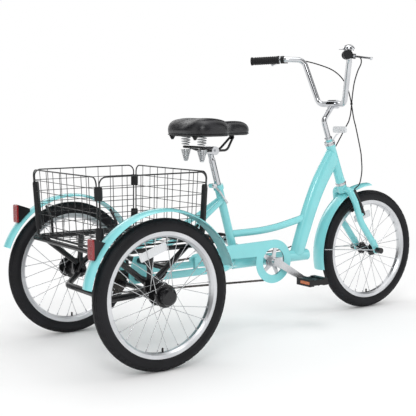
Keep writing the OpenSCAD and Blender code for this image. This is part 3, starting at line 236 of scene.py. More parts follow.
def make_grain():
    """Fine colour drift, uneven gloss and a small relief, as on any coated or moulded part."""
    s, i, o = effect("Grain", [
        ("Colour", "c", (0.5, 0.5, 0.5, 1)), ("Shade", "c", (0.4, 0.4, 0.4, 1)),
        ("Scale", "f", 900.0), ("Gloss Low", "f", 0.2), ("Gloss High", "f", 0.3),
        ("Relief", "f", 0.1), ("Depth", "f", 0.0002)],
        [("Colour", "c"), ("Roughness", "f"), ("Normal", "v")])
    where = s.place()
    fine = s.add("ShaderNodeTexNoise", {"Vector": where, "Scale": i.outputs["Scale"],
                                        "Detail": 2.0}).outputs[0]
    broad = s.add("ShaderNodeTexNoise", {"Vector": where, "Scale": 14.0,
                                         "Detail": 3.0}).outputs[0]
    drift = s.spread(broad, 0.35, 0.70, 0.0, 1.0)
    colour = s.blend(drift, i.outputs["Colour"], i.outputs["Shade"])
    gloss = s.spread(s.math("MULTIPLY_ADD", fine, 0.5, s.math("MULTIPLY", broad, 0.5)),
                     0.3, 0.7, i.outputs["Gloss Low"], i.outputs["Gloss High"])
    bump = s.add("ShaderNodeBump", {"Strength": i.outputs["Relief"],
                                    "Distance": i.outputs["Depth"], "Height": fine})
    s.tree.links.new(colour, o.inputs["Colour"])
    s.tree.links.new(gloss, o.inputs["Roughness"])
    s.tree.links.new(bump.outputs[0], o.inputs["Normal"])
    return s.tree


def make_scuffs():
    """Where a surface has been rubbed: thin scratches and worn patches."""
    s, i, o = effect("Scuffs", [("Scale", "f", 60.0), ("Amount", "f", 0.5),
                                ("Stretch", "v", (1, 1, 1))], [("Mask", "f")])
    where = s.add("ShaderNodeTexCoord").outputs["Object"]
    where = s.add("ShaderNodeMapping", {"Vector": where, "Scale": i.outputs["Stretch"]})
    lines = s.add("ShaderNodeTexNoise", {"Vector": where.outputs[0],
                                         "Scale": i.outputs["Scale"], "Detail": 6.0,
                                         "Roughness": 0.7, "Distortion": 1.6}).outputs[0]
    patch = s.add("ShaderNodeTexNoise", {"Vector": where.outputs[0], "Scale": 9.0,
                                         "Detail": 2.0}).outputs[0]
    thin = s.spread(s.math("ABSOLUTE", s.math("SUBTRACT", lines, 0.5)), 0.0, 0.012, 1.0, 0.0)
    some = s.spread(patch, 0.52, 0.66, 0.0, 1.0)
    mask = s.math("MULTIPLY", s.math("MULTIPLY", thin, some), i.outputs["Amount"])
    s.tree.links.new(mask, o.inputs["Mask"])
    return s.tree


def make_hide():
    """Pebbled vinyl: small cells with creases between them."""
    s, i, o = effect("Pebbled Vinyl", [("Scale", "f", 900.0), ("Relief", "f", 0.5)],
                     [("Height", "f"), ("Normal", "v"), ("Roughness", "f")])
    where = s.place()
    cells = s.add("ShaderNodeTexVoronoi", {"Vector": where, "Scale": i.outputs["Scale"]},
                  feature="SMOOTH_F1").outputs[0]
    folds = s.add("ShaderNodeTexNoise", {"Vector": where, "Scale": 34.0,
                                         "Detail": 4.0}).outputs[0]
    height = s.math("MULTIPLY_ADD", folds, 0.8, s.math("MULTIPLY", cells, 0.6))
    bump = s.add("ShaderNodeBump", {"Strength": i.outputs["Relief"], "Distance": 0.0006,
                                    "Height": height})
    s.tree.links.new(height, o.inputs["Height"])
    s.tree.links.new(bump.outputs[0], o.inputs["Normal"])
    s.tree.links.new(s.spread(height, 0.2, 0.9, 0.27, 0.42), o.inputs["Roughness"])
    return s.tree


def make_prisms():
    """The small prisms inside a reflector or a lamp lens, as relief and a shade mask."""
    s, i, o = effect("Prisms", [("Pitch", "f", 500.0), ("Relief", "f", 0.6)],
                     [("Mask", "f"), ("Normal", "v")])
    where = s.place(scale=(1, 1, 1), turn=(0.3, 0.5, 0.4))
    cells = s.add("ShaderNodeTexVoronoi", {"Vector": where, "Scale": i.outputs["Pitch"],
                                           "Randomness": 0.1}, distance="MANHATTAN")
    bump = s.add("ShaderNodeBump", {"Strength": i.outputs["Relief"], "Distance": 0.001,
                                    "Height": cells.outputs[0]})
    s.tree.links.new(s.spread(cells.outputs[0], 0.1, 0.9, 0.0, 1.0), o.inputs["Mask"])
    s.tree.links.new(bump.outputs[0], o.inputs["Normal"])
    return s.tree


def blank_material(name):
    """A material with an empty tree, and the Shade that fills it."""
    m = bpy.data.materials.new(name)
    m.use_nodes = True
    m.node_tree.nodes.clear()
    return m, Shade(m.node_tree)


def coat(name, effects, colour, shade, gloss, relief=0.1, scale=900.0, scuff=0.0,
         scuff_colour=(0.4, 0.4, 0.4), depth=0.0002, **surface):
    """A finish: grain, and scuffs over it where it has any."""
    m, s = blank_material(name)
    grain = s.add("ShaderNodeGroup", node_tree=effects["grain"])
    for label, value in (("Colour", (*colour, 1)), ("Shade", (*shade, 1)), ("Scale", scale),
                         ("Gloss Low", gloss[0]), ("Gloss High", gloss[1]),
                         ("Relief", relief), ("Depth", depth)):
        grain.inputs[label].default_value = value
    skin = s.add("ShaderNodeBsdfPrincipled", surface)
    base, rough = grain.outputs["Colour"], grain.outputs["Roughness"]
    if scuff:
        rub = s.add("ShaderNodeGroup", node_tree=effects["scuffs"])
        rub.inputs["Amount"].default_value = scuff
        base = s.blend(rub.outputs["Mask"], base, (*scuff_colour, 1))
        rough = s.math("MULTIPLY_ADD", rub.outputs["Mask"], 0.25, rough)
    s.tree.links.new(base, skin.inputs["Base Color"])
    s.tree.links.new(rough, skin.inputs["Roughness"])
    s.tree.links.new(grain.outputs["Normal"], skin.inputs["Normal"])
    out = s.add("ShaderNodeOutputMaterial")
    s.tree.links.new(skin.outputs[0], out.inputs[0])
    return m


def vinyl(effects, colour):
    """The saddle's cover: a pebbled hide with a soft sheen."""
    m, s = blank_material("Saddle Vinyl")
    hide = s.add("ShaderNodeGroup", node_tree=effects["hide"])
    grain = s.add("ShaderNodeGroup", node_tree=effects["grain"])
    grain.inputs["Colour"].default_value = (*colour, 1)
    grain.inputs["Shade"].default_value = (*(c * 2.2 for c in colour), 1)
    skin = s.add("ShaderNodeBsdfPrincipled", {"Coat Weight": 0.12, "Coat Roughness": 0.25})
    s.tree.links.new(grain.outputs["Colour"], skin.inputs["Base Color"])
    s.tree.links.new(hide.outputs["Roughness"], skin.inputs["Roughness"])
    s.tree.links.new(hide.outputs["Normal"], skin.inputs["Normal"])
    s.tree.links.new(skin.outputs[0], s.add("ShaderNodeOutputMaterial").inputs[0])
    return m


def prismatic(name, effects, colour, shade, pitch, **surface):
    """A reflector or lens whose relief follows its prisms, with painted shade that darkens each
    prism towards its edges.
    """
    m, s = blank_material(name)
    cells = s.add("ShaderNodeGroup", node_tree=effects["prisms"])
    cells.inputs["Pitch"].default_value = pitch
    skin = s.add("ShaderNodeBsdfPrincipled", {"Roughness": 0.12, "Coat Weight": 1.0,
                                              "Coat Roughness": 0.05, **surface})
    # painted shade: the darker colour is blended in towards each prism's edge, standing for the
    # facets' shade
    tone = s.blend(cells.outputs["Mask"], (*colour, 1), (*shade, 1))
    s.tree.links.new(tone, skin.inputs["Base Color"])
    s.tree.links.new(cells.outputs["Normal"], skin.inputs["Normal"])
    s.tree.links.new(skin.outputs[0], s.add("ShaderNodeOutputMaterial").inputs[0])
    return m


class TRI_OT_finishes(bpy.types.Operator):
    """Make every finish and put it on the tricycle's parts"""

    bl_idname = "tri.finishes"
    bl_label = "Finishes"

    def execute(self, context):
        effects = {"grain": make_grain(), "scuffs": make_scuffs(), "hide": make_hide(),
                   "prisms": make_prisms()}
        p = paints()
        mint = tuple(p.frame_colour)
        rubber = tuple(p.rubber_colour)
        COATS.update({
            "mint_paint": coat("Mint Paint", effects, mint, tuple(c * 0.93 for c in mint),
                               (0.20, 0.30), 0.05, 700, 0.12, (0.75, 0.85, 0.85),
                               **{"Coat Weight": 0.8, "Coat Roughness": 0.06,
                                  "Metallic": 0.0, "Specular IOR Level": 0.5}),
            "chrome_plate": coat("Chrome Plate", effects, (0.66, 0.67, 0.69),
                                 (0.55, 0.56, 0.58), (0.05, 0.12), 0.03, 300,
                                 Metallic=1.0),
            "alloy": coat("Satin Alloy", effects, (0.74, 0.75, 0.77), (0.62, 0.63, 0.65),
                          (0.26, 0.38), 0.12, 1500, 0.25, (0.9, 0.9, 0.9), Metallic=1.0),
            "bright_steel": coat("Bright Zinc", effects, (0.70, 0.71, 0.72),
                                 (0.52, 0.53, 0.55), (0.20, 0.32), 0.08, 1800,
                                 Metallic=1.0),
            "tyre_rubber": coat("Tyre Rubber", effects, rubber,
                                tuple(c * 1.9 for c in rubber), (0.50, 0.66), 0.35, 1300,
                                0.12, (0.03, 0.03, 0.03), **{"Specular IOR Level": 0.28}),
            "black_rubber": coat("Soft Black Rubber", effects, (0.007, 0.007, 0.008),
                                 (0.012, 0.012, 0.013), (0.48, 0.62), 0.5, 1600,
                                 **{"Specular IOR Level": 0.3}),
            "black_plastic": coat("Moulded Black Plastic", effects, (0.006, 0.006, 0.007),
                                  (0.010, 0.010, 0.011), (0.34, 0.46), 0.4, 1900, 0.15,
                                  (0.03, 0.03, 0.03), **{"Specular IOR Level": 0.35}),
            "black_paint": coat("Black Gloss Coat", effects, (0.004, 0.004, 0.005),
                                (0.008, 0.008, 0.009), (0.20, 0.32), 0.12, 600, 0.2,
                                (0.05, 0.05, 0.055), **{"Coat Weight": 0.25,
                                                        "Coat Roughness": 0.12,
                                                        "Specular IOR Level": 0.4}),
            "dark_steel": coat("Oiled Steel", effects, (0.11, 0.10, 0.095),
                               (0.05, 0.045, 0.04), (0.28, 0.45), 0.3, 900, 0.5,
                               (0.4, 0.38, 0.36), Metallic=0.9),
            "red_lens": prismatic("Red Lens", effects, tuple(p.lens_colour),
                                  (0.26, 0.001, 0.004), 330.0,
                                  **{"Transmission Weight": 0.15}),
            "white_reflector": prismatic("White Reflector", effects, (0.86, 0.87, 0.88),
                                         (0.70, 0.72, 0.74), 420.0),
            "amber_reflector": prismatic("Amber Reflector", effects,
                                         tuple(p.amber_colour), (0.55, 0.10, 0.005),
                                         500.0),
            "saddle_cover": vinyl(effects, tuple(p.cover_colour)),
        })
        for name, node in NODES.items():
            node.data.materials.clear()
            node.data.materials.append(COATS[SLOT_OF[name]])
        return {"FINISHED"}


# ---------- mesh building ----------


def piece(name, verts, faces, body, slot, replaces=(), smooth=True, coat_name=None):
    """A mesh piece that rides on a body and takes a slot's finish."""
    mesh = bpy.data.meshes.new(name)
    mesh.from_pydata([tuple(v) for v in verts], [], faces)
    mesh.validate()
    return adopt(bpy.data.objects.new(name, mesh), body, slot, replaces, smooth, coat_name)


def adopt(obj, body, slot, replaces=(), smooth=True, coat_name=None, fresh=True):
    if fresh:
        bpy.context.scene.collection.objects.link(obj)
    if not obj.data.materials:
        obj.data.materials.append(COATS[coat_name or slot])
    tidy(obj.data)
    if smooth:
        obj.data.shade_smooth()
        obj.data.set_sharp_from_angle(angle=math.radians(42))
    if body:
        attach(obj, body)
    if replaces:
        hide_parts(*replaces)
    return obj


def tidy(mesh):
    """Merges doubles and turns every face outwards."""
    bm = bmesh.new()
    bm.from_mesh(mesh)
    bmesh.ops.remove_doubles(bm, verts=bm.verts, dist=1e-6)
    bmesh.ops.recalc_face_normals(bm, faces=bm.faces)
    bm.to_mesh(mesh)
    bm.free()


def smooth_path(points, steps):
    """Points of a Catmull-Rom curve through the given ones."""
    p = [Vector(q) for q in points]
    p = [2 * p[0] - p[1]] + p + [2 * p[-1] - p[-2]]
    out = []
    for i in range(1, len(p) - 2):
        for k in range(steps):
            t = k / steps
            out.append(0.5 * ((2 * p[i]) + (p[i + 1] - p[i - 1]) * t
                              + (2 * p[i - 1] - 5 * p[i] + 4 * p[i + 1] - p[i + 2]) * t ** 2
                              + (3 * p[i] - p[i - 1] - 3 * p[i + 1] + p[i + 2]) * t ** 3))
    return out + [p[-2]]


def loft(rings, closed=False, caps=True):
    """Verts and quads through rings of equal length; caps close the ends."""
    n, verts, faces = len(rings[0]), [v for r in rings for v in r], []
    last = len(rings) if closed else len(rings) - 1
    for i in range(last):
        j = (i + 1) % len(rings)
        for k in range(n):
            m = (k + 1) % n
            faces.append((i * n + k, j * n + k, j * n + m, i * n + m))
    if caps and not closed:
        for i, turn in ((0, 1), (len(rings) - 1, -1)):
            faces.append(tuple(i * n + k for k in range(n))[::turn])
    return verts, faces


def rings_along(path, radius, sides=14, wide=None, start=None):
    """Round or oval rings along a path, turned as little as possible."""
    path = [Vector(p) for p in path]
    side = Vector(start or (0.13, 0.97, 0.21))
    rings = []
    for i, p in enumerate(path):
        t = (path[min(i + 1, len(path) - 1)] - path[max(i - 1, 0)]).normalized()
        side = (side - t * side.dot(t)).normalized()
        up = t.cross(side)
        r = radius(i / (len(path) - 1)) if callable(radius) else radius
        w = r if wide is None else wide
        rings.append([p + side * (w * math.cos(a)) + up * (r * math.sin(a))
                      for a in round_turn(sides)])
    return rings


def length_of(path):
    return sum((b - a).length for a, b in zip(path, path[1:]))


def round_turn(count):
    """Angles spaced evenly round a full turn."""
    return [2 * math.pi * k / count for k in range(count)]


def squared_turn(count, power):
    """Points round a unit circle that is squared off more as the power rises."""
    out = []
    for a in round_turn(count):
        ca, sa = math.cos(a), math.sin(a)
        grip = (abs(ca) ** power + abs(sa) ** power) ** (-1 / power)
        out.append((ca * grip, sa * grip))
    return out


def join(verts, faces, more_verts, more_faces):
    """Adds one mesh's verts and faces to another's."""
    base = len(verts)
    verts += more_verts
    faces += [tuple(i + base for i in f) for f in more_faces]


# ---------- geometry node building ----------


def grower(name, inputs):
    """A geometry node tree with a geometry input and named inputs for its sizes."""
    tree = bpy.data.node_groups.new(name, "GeometryNodeTree")
    tree.interface.new_socket("Geometry", in_out="INPUT", socket_type="NodeSocketGeometry")
    kinds = {"f": "NodeSocketFloat", "i": "NodeSocketInt", "o": "NodeSocketObject",
             "m": "NodeSocketMaterial"}
    for label, kind in inputs:
        tree.interface.new_socket(label, in_out="INPUT", socket_type=kinds[kind])
    tree.interface.new_socket("Geometry", in_out="OUTPUT", socket_type="NodeSocketGeometry")
    s = Shade(tree)
    return s, s.add("NodeGroupInput"), s.add("NodeGroupOutput")


def finish_growth(s, i, o, geometry):
    real = s.add("GeometryNodeRealizeInstances", {"Geometry": geometry})
    dressed = s.add("GeometryNodeSetMaterial", {"Geometry": real.outputs[0],
                                                "Material": i.outputs["Material"]})
    s.tree.links.new(dressed.outputs[0], o.inputs[0])
    return s.tree


def grow(name, seed_mesh, tree, values, body, slot, replaces=(), smooth=True):
    """Runs a geometry node tree on a seed mesh and keeps its result as a plain mesh."""
    seed = bpy.data.objects.new(name + "_seed", seed_mesh)
    bpy.context.scene.collection.objects.link(seed)
    modifier = seed.modifiers.new("Growth", "NODES")
    modifier.node_group = tree
    values = {"Material": COATS[slot], **values}
    for item in tree.interface.items_tree:
        if item.in_out == "INPUT" and item.name in values:
            modifier[item.identifier] = values[item.name]
    bpy.context.view_layer.update()
    grown = seed.evaluated_get(bpy.context.evaluated_depsgraph_get())
    mesh = bpy.data.meshes.new_from_object(grown)
    seed.modifiers.clear()
    bpy.data.objects.remove(seed)
    mesh.name = name
    return adopt(bpy.data.objects.new(name, mesh), body, slot, replaces, smooth)


def seed_lines(name, loops, closed=True):
    """A mesh of edges only, one loop or line for each list of points."""
    verts, edges = [], []
    for points in loops:
        base, n = len(verts), len(points)
        verts += [tuple(p) for p in points]
        edges += [(base + k, base + (k + 1) % n) for k in range(n if closed else n - 1)]
    mesh = bpy.data.meshes.new(name)
    mesh.from_pydata(verts, edges, [])
    return mesh


def tread_tree():
    s, i, o = grower("Tread Blocks", [("Block Height", "f"), ("Block Taper", "f"),
                                      ("Material", "m")])
    chosen = s.add("GeometryNodeInputNamedAttribute", {"Name": "block"},
                   data_type="BOOLEAN").outputs[0]
    raised = s.add("GeometryNodeExtrudeMesh", {
        "Mesh": i.outputs["Geometry"], "Selection": chosen,
        "Offset Scale": i.outputs["Block Height"], "Individual": False}, mode="FACES")
    tapered = s.add("GeometryNodeScaleElements", {
        "Geometry": raised.outputs[0], "Selection": raised.outputs["Top"],
        "Scale": i.outputs["Block Taper"]}, domain="FACE")
    return finish_growth(s, i, o, tapered.outputs[0])


def bead_tree():
    s, i, o = grower("Weld Bead", [("Bead Radius", "f"), ("Ripple", "f"), ("Pitch", "f"),
                                   ("Material", "m")])
    line = s.add("GeometryNodeMeshToCurve", {"Mesh": i.outputs["Geometry"]})
    even = s.add("GeometryNodeResampleCurve", {"Curve": line.outputs[0],
                                               "Length": 0.0015}, mode="LENGTH")
    along = s.add("GeometryNodeSplineParameter").outputs["Length"]
    phase = s.math("MULTIPLY", s.math("DIVIDE", along, i.outputs["Pitch"]), 2 * math.pi)
    wave = s.math("MULTIPLY_ADD", s.math("SINE", phase), i.outputs["Ripple"],
                  i.outputs["Bead Radius"])
    sized = s.add("GeometryNodeSetCurveRadius", {"Curve": even.outputs[0], "Radius": wave})
    ring = s.add("GeometryNodeCurvePrimitiveCircle", {"Resolution": 8, "Radius": 1.0},
                 mode="RADIUS")
    tube = s.add("GeometryNodeCurveToMesh", {"Curve": sized.outputs[0],
                                             "Profile Curve": ring.outputs[0]})
    if "Scale" in tube.inputs:
        s.tree.links.new(wave, tube.inputs["Scale"])
    return finish_growth(s, i, o, tube.outputs[0])


def chain_tree():
    s, i, o = grower("Roller Chain", [("Links", "i"), ("Inner Link", "o"),
                                      ("Outer Link", "o"), ("Material", "m")])
    line = s.add("GeometryNodeMeshToCurve", {"Mesh": i.outputs["Geometry"]})
    even = s.add("GeometryNodeResampleCurve", {"Curve": line.outputs[0],
                                               "Count": i.outputs["Links"]})
    tangent = s.add("GeometryNodeInputTangent").outputs[0]
    turn = s.add("FunctionNodeAlignRotationToVector", {"Vector": tangent}, axis="X",
                 pivot_axis="Y").outputs[0]
    odd = s.math("MODULO", s.add("GeometryNodeInputIndex").outputs[0], 2.0)
    even_ones = s.math("SUBTRACT", 1.0, odd)
    sets = []
    for label, which in (("Inner Link", odd), ("Outer Link", even_ones)):
        shape = s.add("GeometryNodeObjectInfo", {"Object": i.outputs[label]})
        sets.append(s.add("GeometryNodeInstanceOnPoints", {
            "Points": even.outputs[0], "Selection": which,
            "Instance": shape.outputs["Geometry"], "Rotation": turn}).outputs[0])
    both = s.add("GeometryNodeJoinGeometry")
    for one in sets:
        s.tree.links.new(one, both.inputs[0])
    return finish_growth(s, i, o, both.outputs[0])


def rib_tree():
    s, i, o = grower("Moulded Ribs", [("Rib Radius", "f"), ("Material", "m")])
    line = s.add("GeometryNodeMeshToCurve", {"Mesh": i.outputs["Geometry"]})
    ring = s.add("GeometryNodeCurvePrimitiveCircle", {
        "Resolution": 8, "Radius": i.outputs["Rib Radius"]}, mode="RADIUS")
    tube = s.add("GeometryNodeCurveToMesh", {
        "Curve": line.outputs[0], "Profile Curve": ring.outputs[0], "Fill Caps": True})
    return finish_growth(s, i, o, tube.outputs[0])


# ---------- tyres ----------


class TRI_OT_tyres(bpy.types.Operator):
    """Make the three tyres with their treads"""

    bl_idname = "tri.tyres"
    bl_label = "Tyres"

    tread_edge = 62  # degrees from the crown to the last block
    cells_across = 14

    def section(self):
        """(angle from the crown, radius) round half of the tyre's section and back inside."""
        depth = sizes().tread_depth / MM
        out = []
        for k in range(self.cells_across + 1):
            a = self.tread_edge * (2 * k / self.cells_across - 1)
            out.append((a, TYRE_R - depth))
        lip = [(70, 23.7), (78, 24.3), (92, 24.5), (108, 24.3), (122, 23.9), (134, 23.5),
               (141, 23.0)]
        inner = [(141, 21.5), (110, 21.3), (70, 21.3), (35, 21.3)]
        right = lip + inner
        left = [(-a, r) for a, r in reversed(right)]
        return out + right + [(0, 21.3)] + left

    def execute(self, context):
        steps = sizes().tread_steps
        tree = tread_tree()
        for side, (body, centre) in WHEELS.items():
            c = row(*centre)
            section = self.section()
            rings, n = [], len(section)
            for i in range(steps):
                ring = []
                for k, (a, r) in enumerate(section):
                    skew = 0.5 * abs(2 * k / self.cells_across - 1) if k <= self.cells_across else 0
                    t = 2 * math.pi * (i + skew) / steps
                    reach = (TYRE_MID_R + r * math.cos(math.radians(a))) * MM
                    ring.append(c + Vector((reach * math.cos(t),
                                            r * math.sin(math.radians(a)) * MM,
                                            reach * math.sin(t))))
                rings.append(ring)
            verts, faces = loft(rings, closed=True)
            mesh = bpy.data.meshes.new(side + "_tread_seed")
            mesh.from_pydata([tuple(v) for v in verts], [], faces)
            mark = mesh.attributes.new("block", "BOOLEAN", "FACE")
            mark.data.foreach_set("value", [self.is_block(*divmod(f, n)) for f in
                                            range(len(faces))])
            tidy(mesh)
            grow(side + "_treaded_tyre", mesh, tree,
                 {"Block Height": sizes().tread_depth * 0.98, "Block Taper": 1.0},
                 body, "tyre_rubber", [side + "_tyre"])
            self.valve(side, body, c)
        return {"FINISHED"}

    def is_block(self, i, k):
        """Two joined centre ribs, then staggered shoulder blocks with grooves between."""
        if k >= self.cells_across:
            return False
        from_side = min(k, self.cells_across - 1 - k)
        if from_side in (2, 4):
            return False
        if from_side >= 5:
            return (i + (k % 2)) % 6 != 0 or from_side == 6
        return (i + (1 if from_side == 3 else 0)) % 3 != 0

    def valve(self, side, body, c):
        """The valve stem that stands inward from the rim, with its cap."""
        profile = [(0, 2.9), (4, 2.9), (9, 3.0), (14, 3.0), (16, 2.2), (20, 2.2), (20.5, 3.3),
                   (22, 3.5), (31, 3.5), (33, 3.0), (34, 1.6)]
        foot = c + Vector((0, 0, -208 * MM))
        rings = [[foot + Vector((math.cos(a) * r, math.sin(a) * r, h)) * MM
                  for a in round_turn(16)] for h, r in profile]
        verts, faces = loft(rings)
        piece(side + "_valve", verts, faces, body, "black_rubber")


# ---------- frame ----------


def joint_loop(foot, way, radius, axis_foot, axis_way, axis_radius, steps=48):
    """Where a round tube meets another's wall, as points round the first tube."""
    way, axis_way = Vector(way).normalized(), Vector(axis_way).normalized()
    side = way.orthogonal().normalized()
    up = way.cross(side)
    loop = []
    for a in round_turn(steps):
        p = Vector(foot) + side * (radius * math.cos(a)) + up * (radius * math.sin(a))
        rel = p - Vector(axis_foot)
        rel -= axis_way * rel.dot(axis_way)
        flat = way - axis_way * way.dot(axis_way)
        qa, qb, qc = flat.dot(flat), 2 * rel.dot(flat), rel.dot(rel) - axis_radius ** 2
        under = max(qb * qb - 4 * qa * qc, 0)
        loop.append(p + way * ((-qb + math.sqrt(under)) / (2 * qa)))
    return loop


class TRI_OT_frame_tubes(bpy.types.Operator):
    """Make the oval down tube with the head tube, and the weld beads at the joints"""

    bl_idname = "tri.frame_tubes"
    bl_label = "Frame tubes"

    down_line = ((840, 0, 262), (873, 0, 352), (912, 0, 450), (961, 0, 548), (1034, 0, 656))
    head_low = (1076.06, 0, 541.4)
    head_top = (1017.38, 0, 696.68)
    squareness = 2.5
    seat_foot, seat_lean = (540, 0, 257), (-0.2706, 0, 0.9627)
    seat_r, top_r, boom_r, boom_z = 15.9, 14, 22.5, 257
    top_tube = ((700, 0, 371.4), (900, 0, 411.6))

    def oval(self, share):
        """Half depth and half width of the down tube, from its foot (0) to its top (1)."""
        return (28 + 8 * share) * MM, (22 - 1.5 * share) * MM

    def execute(self, context):
        low, top = row(*self.head_low), row(*self.head_top)
        way = (top - low).normalized()
        rings = self.down_rings(low, way)
        verts, faces = loft(rings)
        head = [(0, 19.5), (1.0, 19.9), (12, 19.9), (13.5, 19.0), (40, 18.6), (126, 18.6),
                (152.5, 19.0), (154, 19.9), (165, 19.9), (166, 19.5)]
        bore = [(166, 15.3), (0, 15.3)]
        hoops = rings_along([low + way * (h * MM) for h, r in head], 1.0, 40)
        across = [[low + way * (h * MM) + (v - low - way * (hh * MM)) * (r * MM)
                   for v in hoop] for (h, r), (hh, rr), hoop in zip(head, head, hoops)]
        inner = [[low + way * (h * MM) + (v - (low + way * (head[0][0] * MM))) * (r * MM)
                  for v in hoops[0]] for h, r in bore]
        v2, f2 = loft(across + inner, closed=True)
        join(verts, faces, v2, f2)
        piece("head_and_oval_down_tube", verts, faces, "frame", "mint_paint",
              ["head_and_down_tube"])
        self.welds(rings)
        return {"FINISHED"}

    def down_rings(self, low, way):
        """Squarish oval sections that widen towards the head tube, and stop at its middle."""
        path = smooth_path(rows(self.down_line), 7)
        rings = []
        for i, p in enumerate(path):
            t = (path[min(i + 1, len(path) - 1)] - path[max(i - 1, 0)]).normalized()
            fwd = Vector((0, 1, 0)).cross(t)
            deep, wide = self.oval(i / (len(path) - 1))
            ring = []
            for across, along in squared_turn(44, self.squareness):
                q = p + Vector((0, wide * across, 0)) + fwd * (deep * along)
                past = (q - low) - way * (q - low).dot(way)
                ahead = past.x * way.z - past.z * way.x
                if ahead > 0:
                    q -= (Vector((way.z, 0, -way.x)) * ahead)
                ring.append(q)
            rings.append(ring)
        return rings

    def welds(self, rings):
        seat_foot, seat_way = row(*self.seat_foot), Vector(self.seat_lean)
        boom, ahead = row(520, 0, self.boom_z), (1, 0, 0)
        start, end = rows(self.top_tube)
        top = seat_foot + seat_way * 0.118
        seat_r, top_r, boom_r = (r * MM for r in (self.seat_r, self.top_r, self.boom_r))
        loops = [joint_loop(seat_foot, seat_way, seat_r, boom, ahead, boom_r),
                 joint_loop(top, (start - top).normalized(), top_r, seat_foot, seat_way, seat_r),
                 self.on_oval(rings, start, end, top_r), self.boom_ring(rings)]
        tree = bead_tree()
        grow("frame_weld_beads", seed_lines("welds", loops), tree,
             {"Bead Radius": sizes().weld_size, "Ripple": 0.0004, "Pitch": 0.0042},
             "frame", "mint_paint")

    def on_oval(self, rings, start, end, radius):
        """The top tube's mouth on the down tube, found by stepping along the tube."""
        way = (end - start).normalized()
        side = Vector((0, 1, 0))
        up = way.cross(side)
        mids = [sum(r, Vector()) / len(r) for r in rings]
        loop = []
        for a in round_turn(48):
            p = start + side * (radius * math.cos(a)) + up * (radius * math.sin(a))
            for step in range(220):
                q = p + way * (step * MM)
                near = min(range(len(mids)), key=lambda m: abs(mids[m].z - q.z))
                t = (mids[min(near + 1, len(mids) - 1)] - mids[max(near - 1, 0)]).normalized()
                fwd = Vector((0, 1, 0)).cross(t)
                deep, wide = self.oval(near / (len(mids) - 1))
                off = q - mids[near]
                fit = ((abs(off.dot(fwd)) / deep) ** self.squareness
                       + (abs(off.y) / wide) ** self.squareness)
                if fit < 1:
                    break
            loop.append(q)
        return loop

    def boom_ring(self, rings):
        """The down tube's foot on the long bottom tube."""
        loop, radius = [], self.boom_r * MM
        a, b = rings[0], rings[4]
        for p, q in zip(a, b):
            way = (q - p).normalized()
            y = p.y
            z = self.boom_z * MM + math.sqrt(max(radius ** 2 - y * y, 0))
            loop.append(p + way * ((z - p.z) / way.z))
        return loop


# ---------- saddle ----------


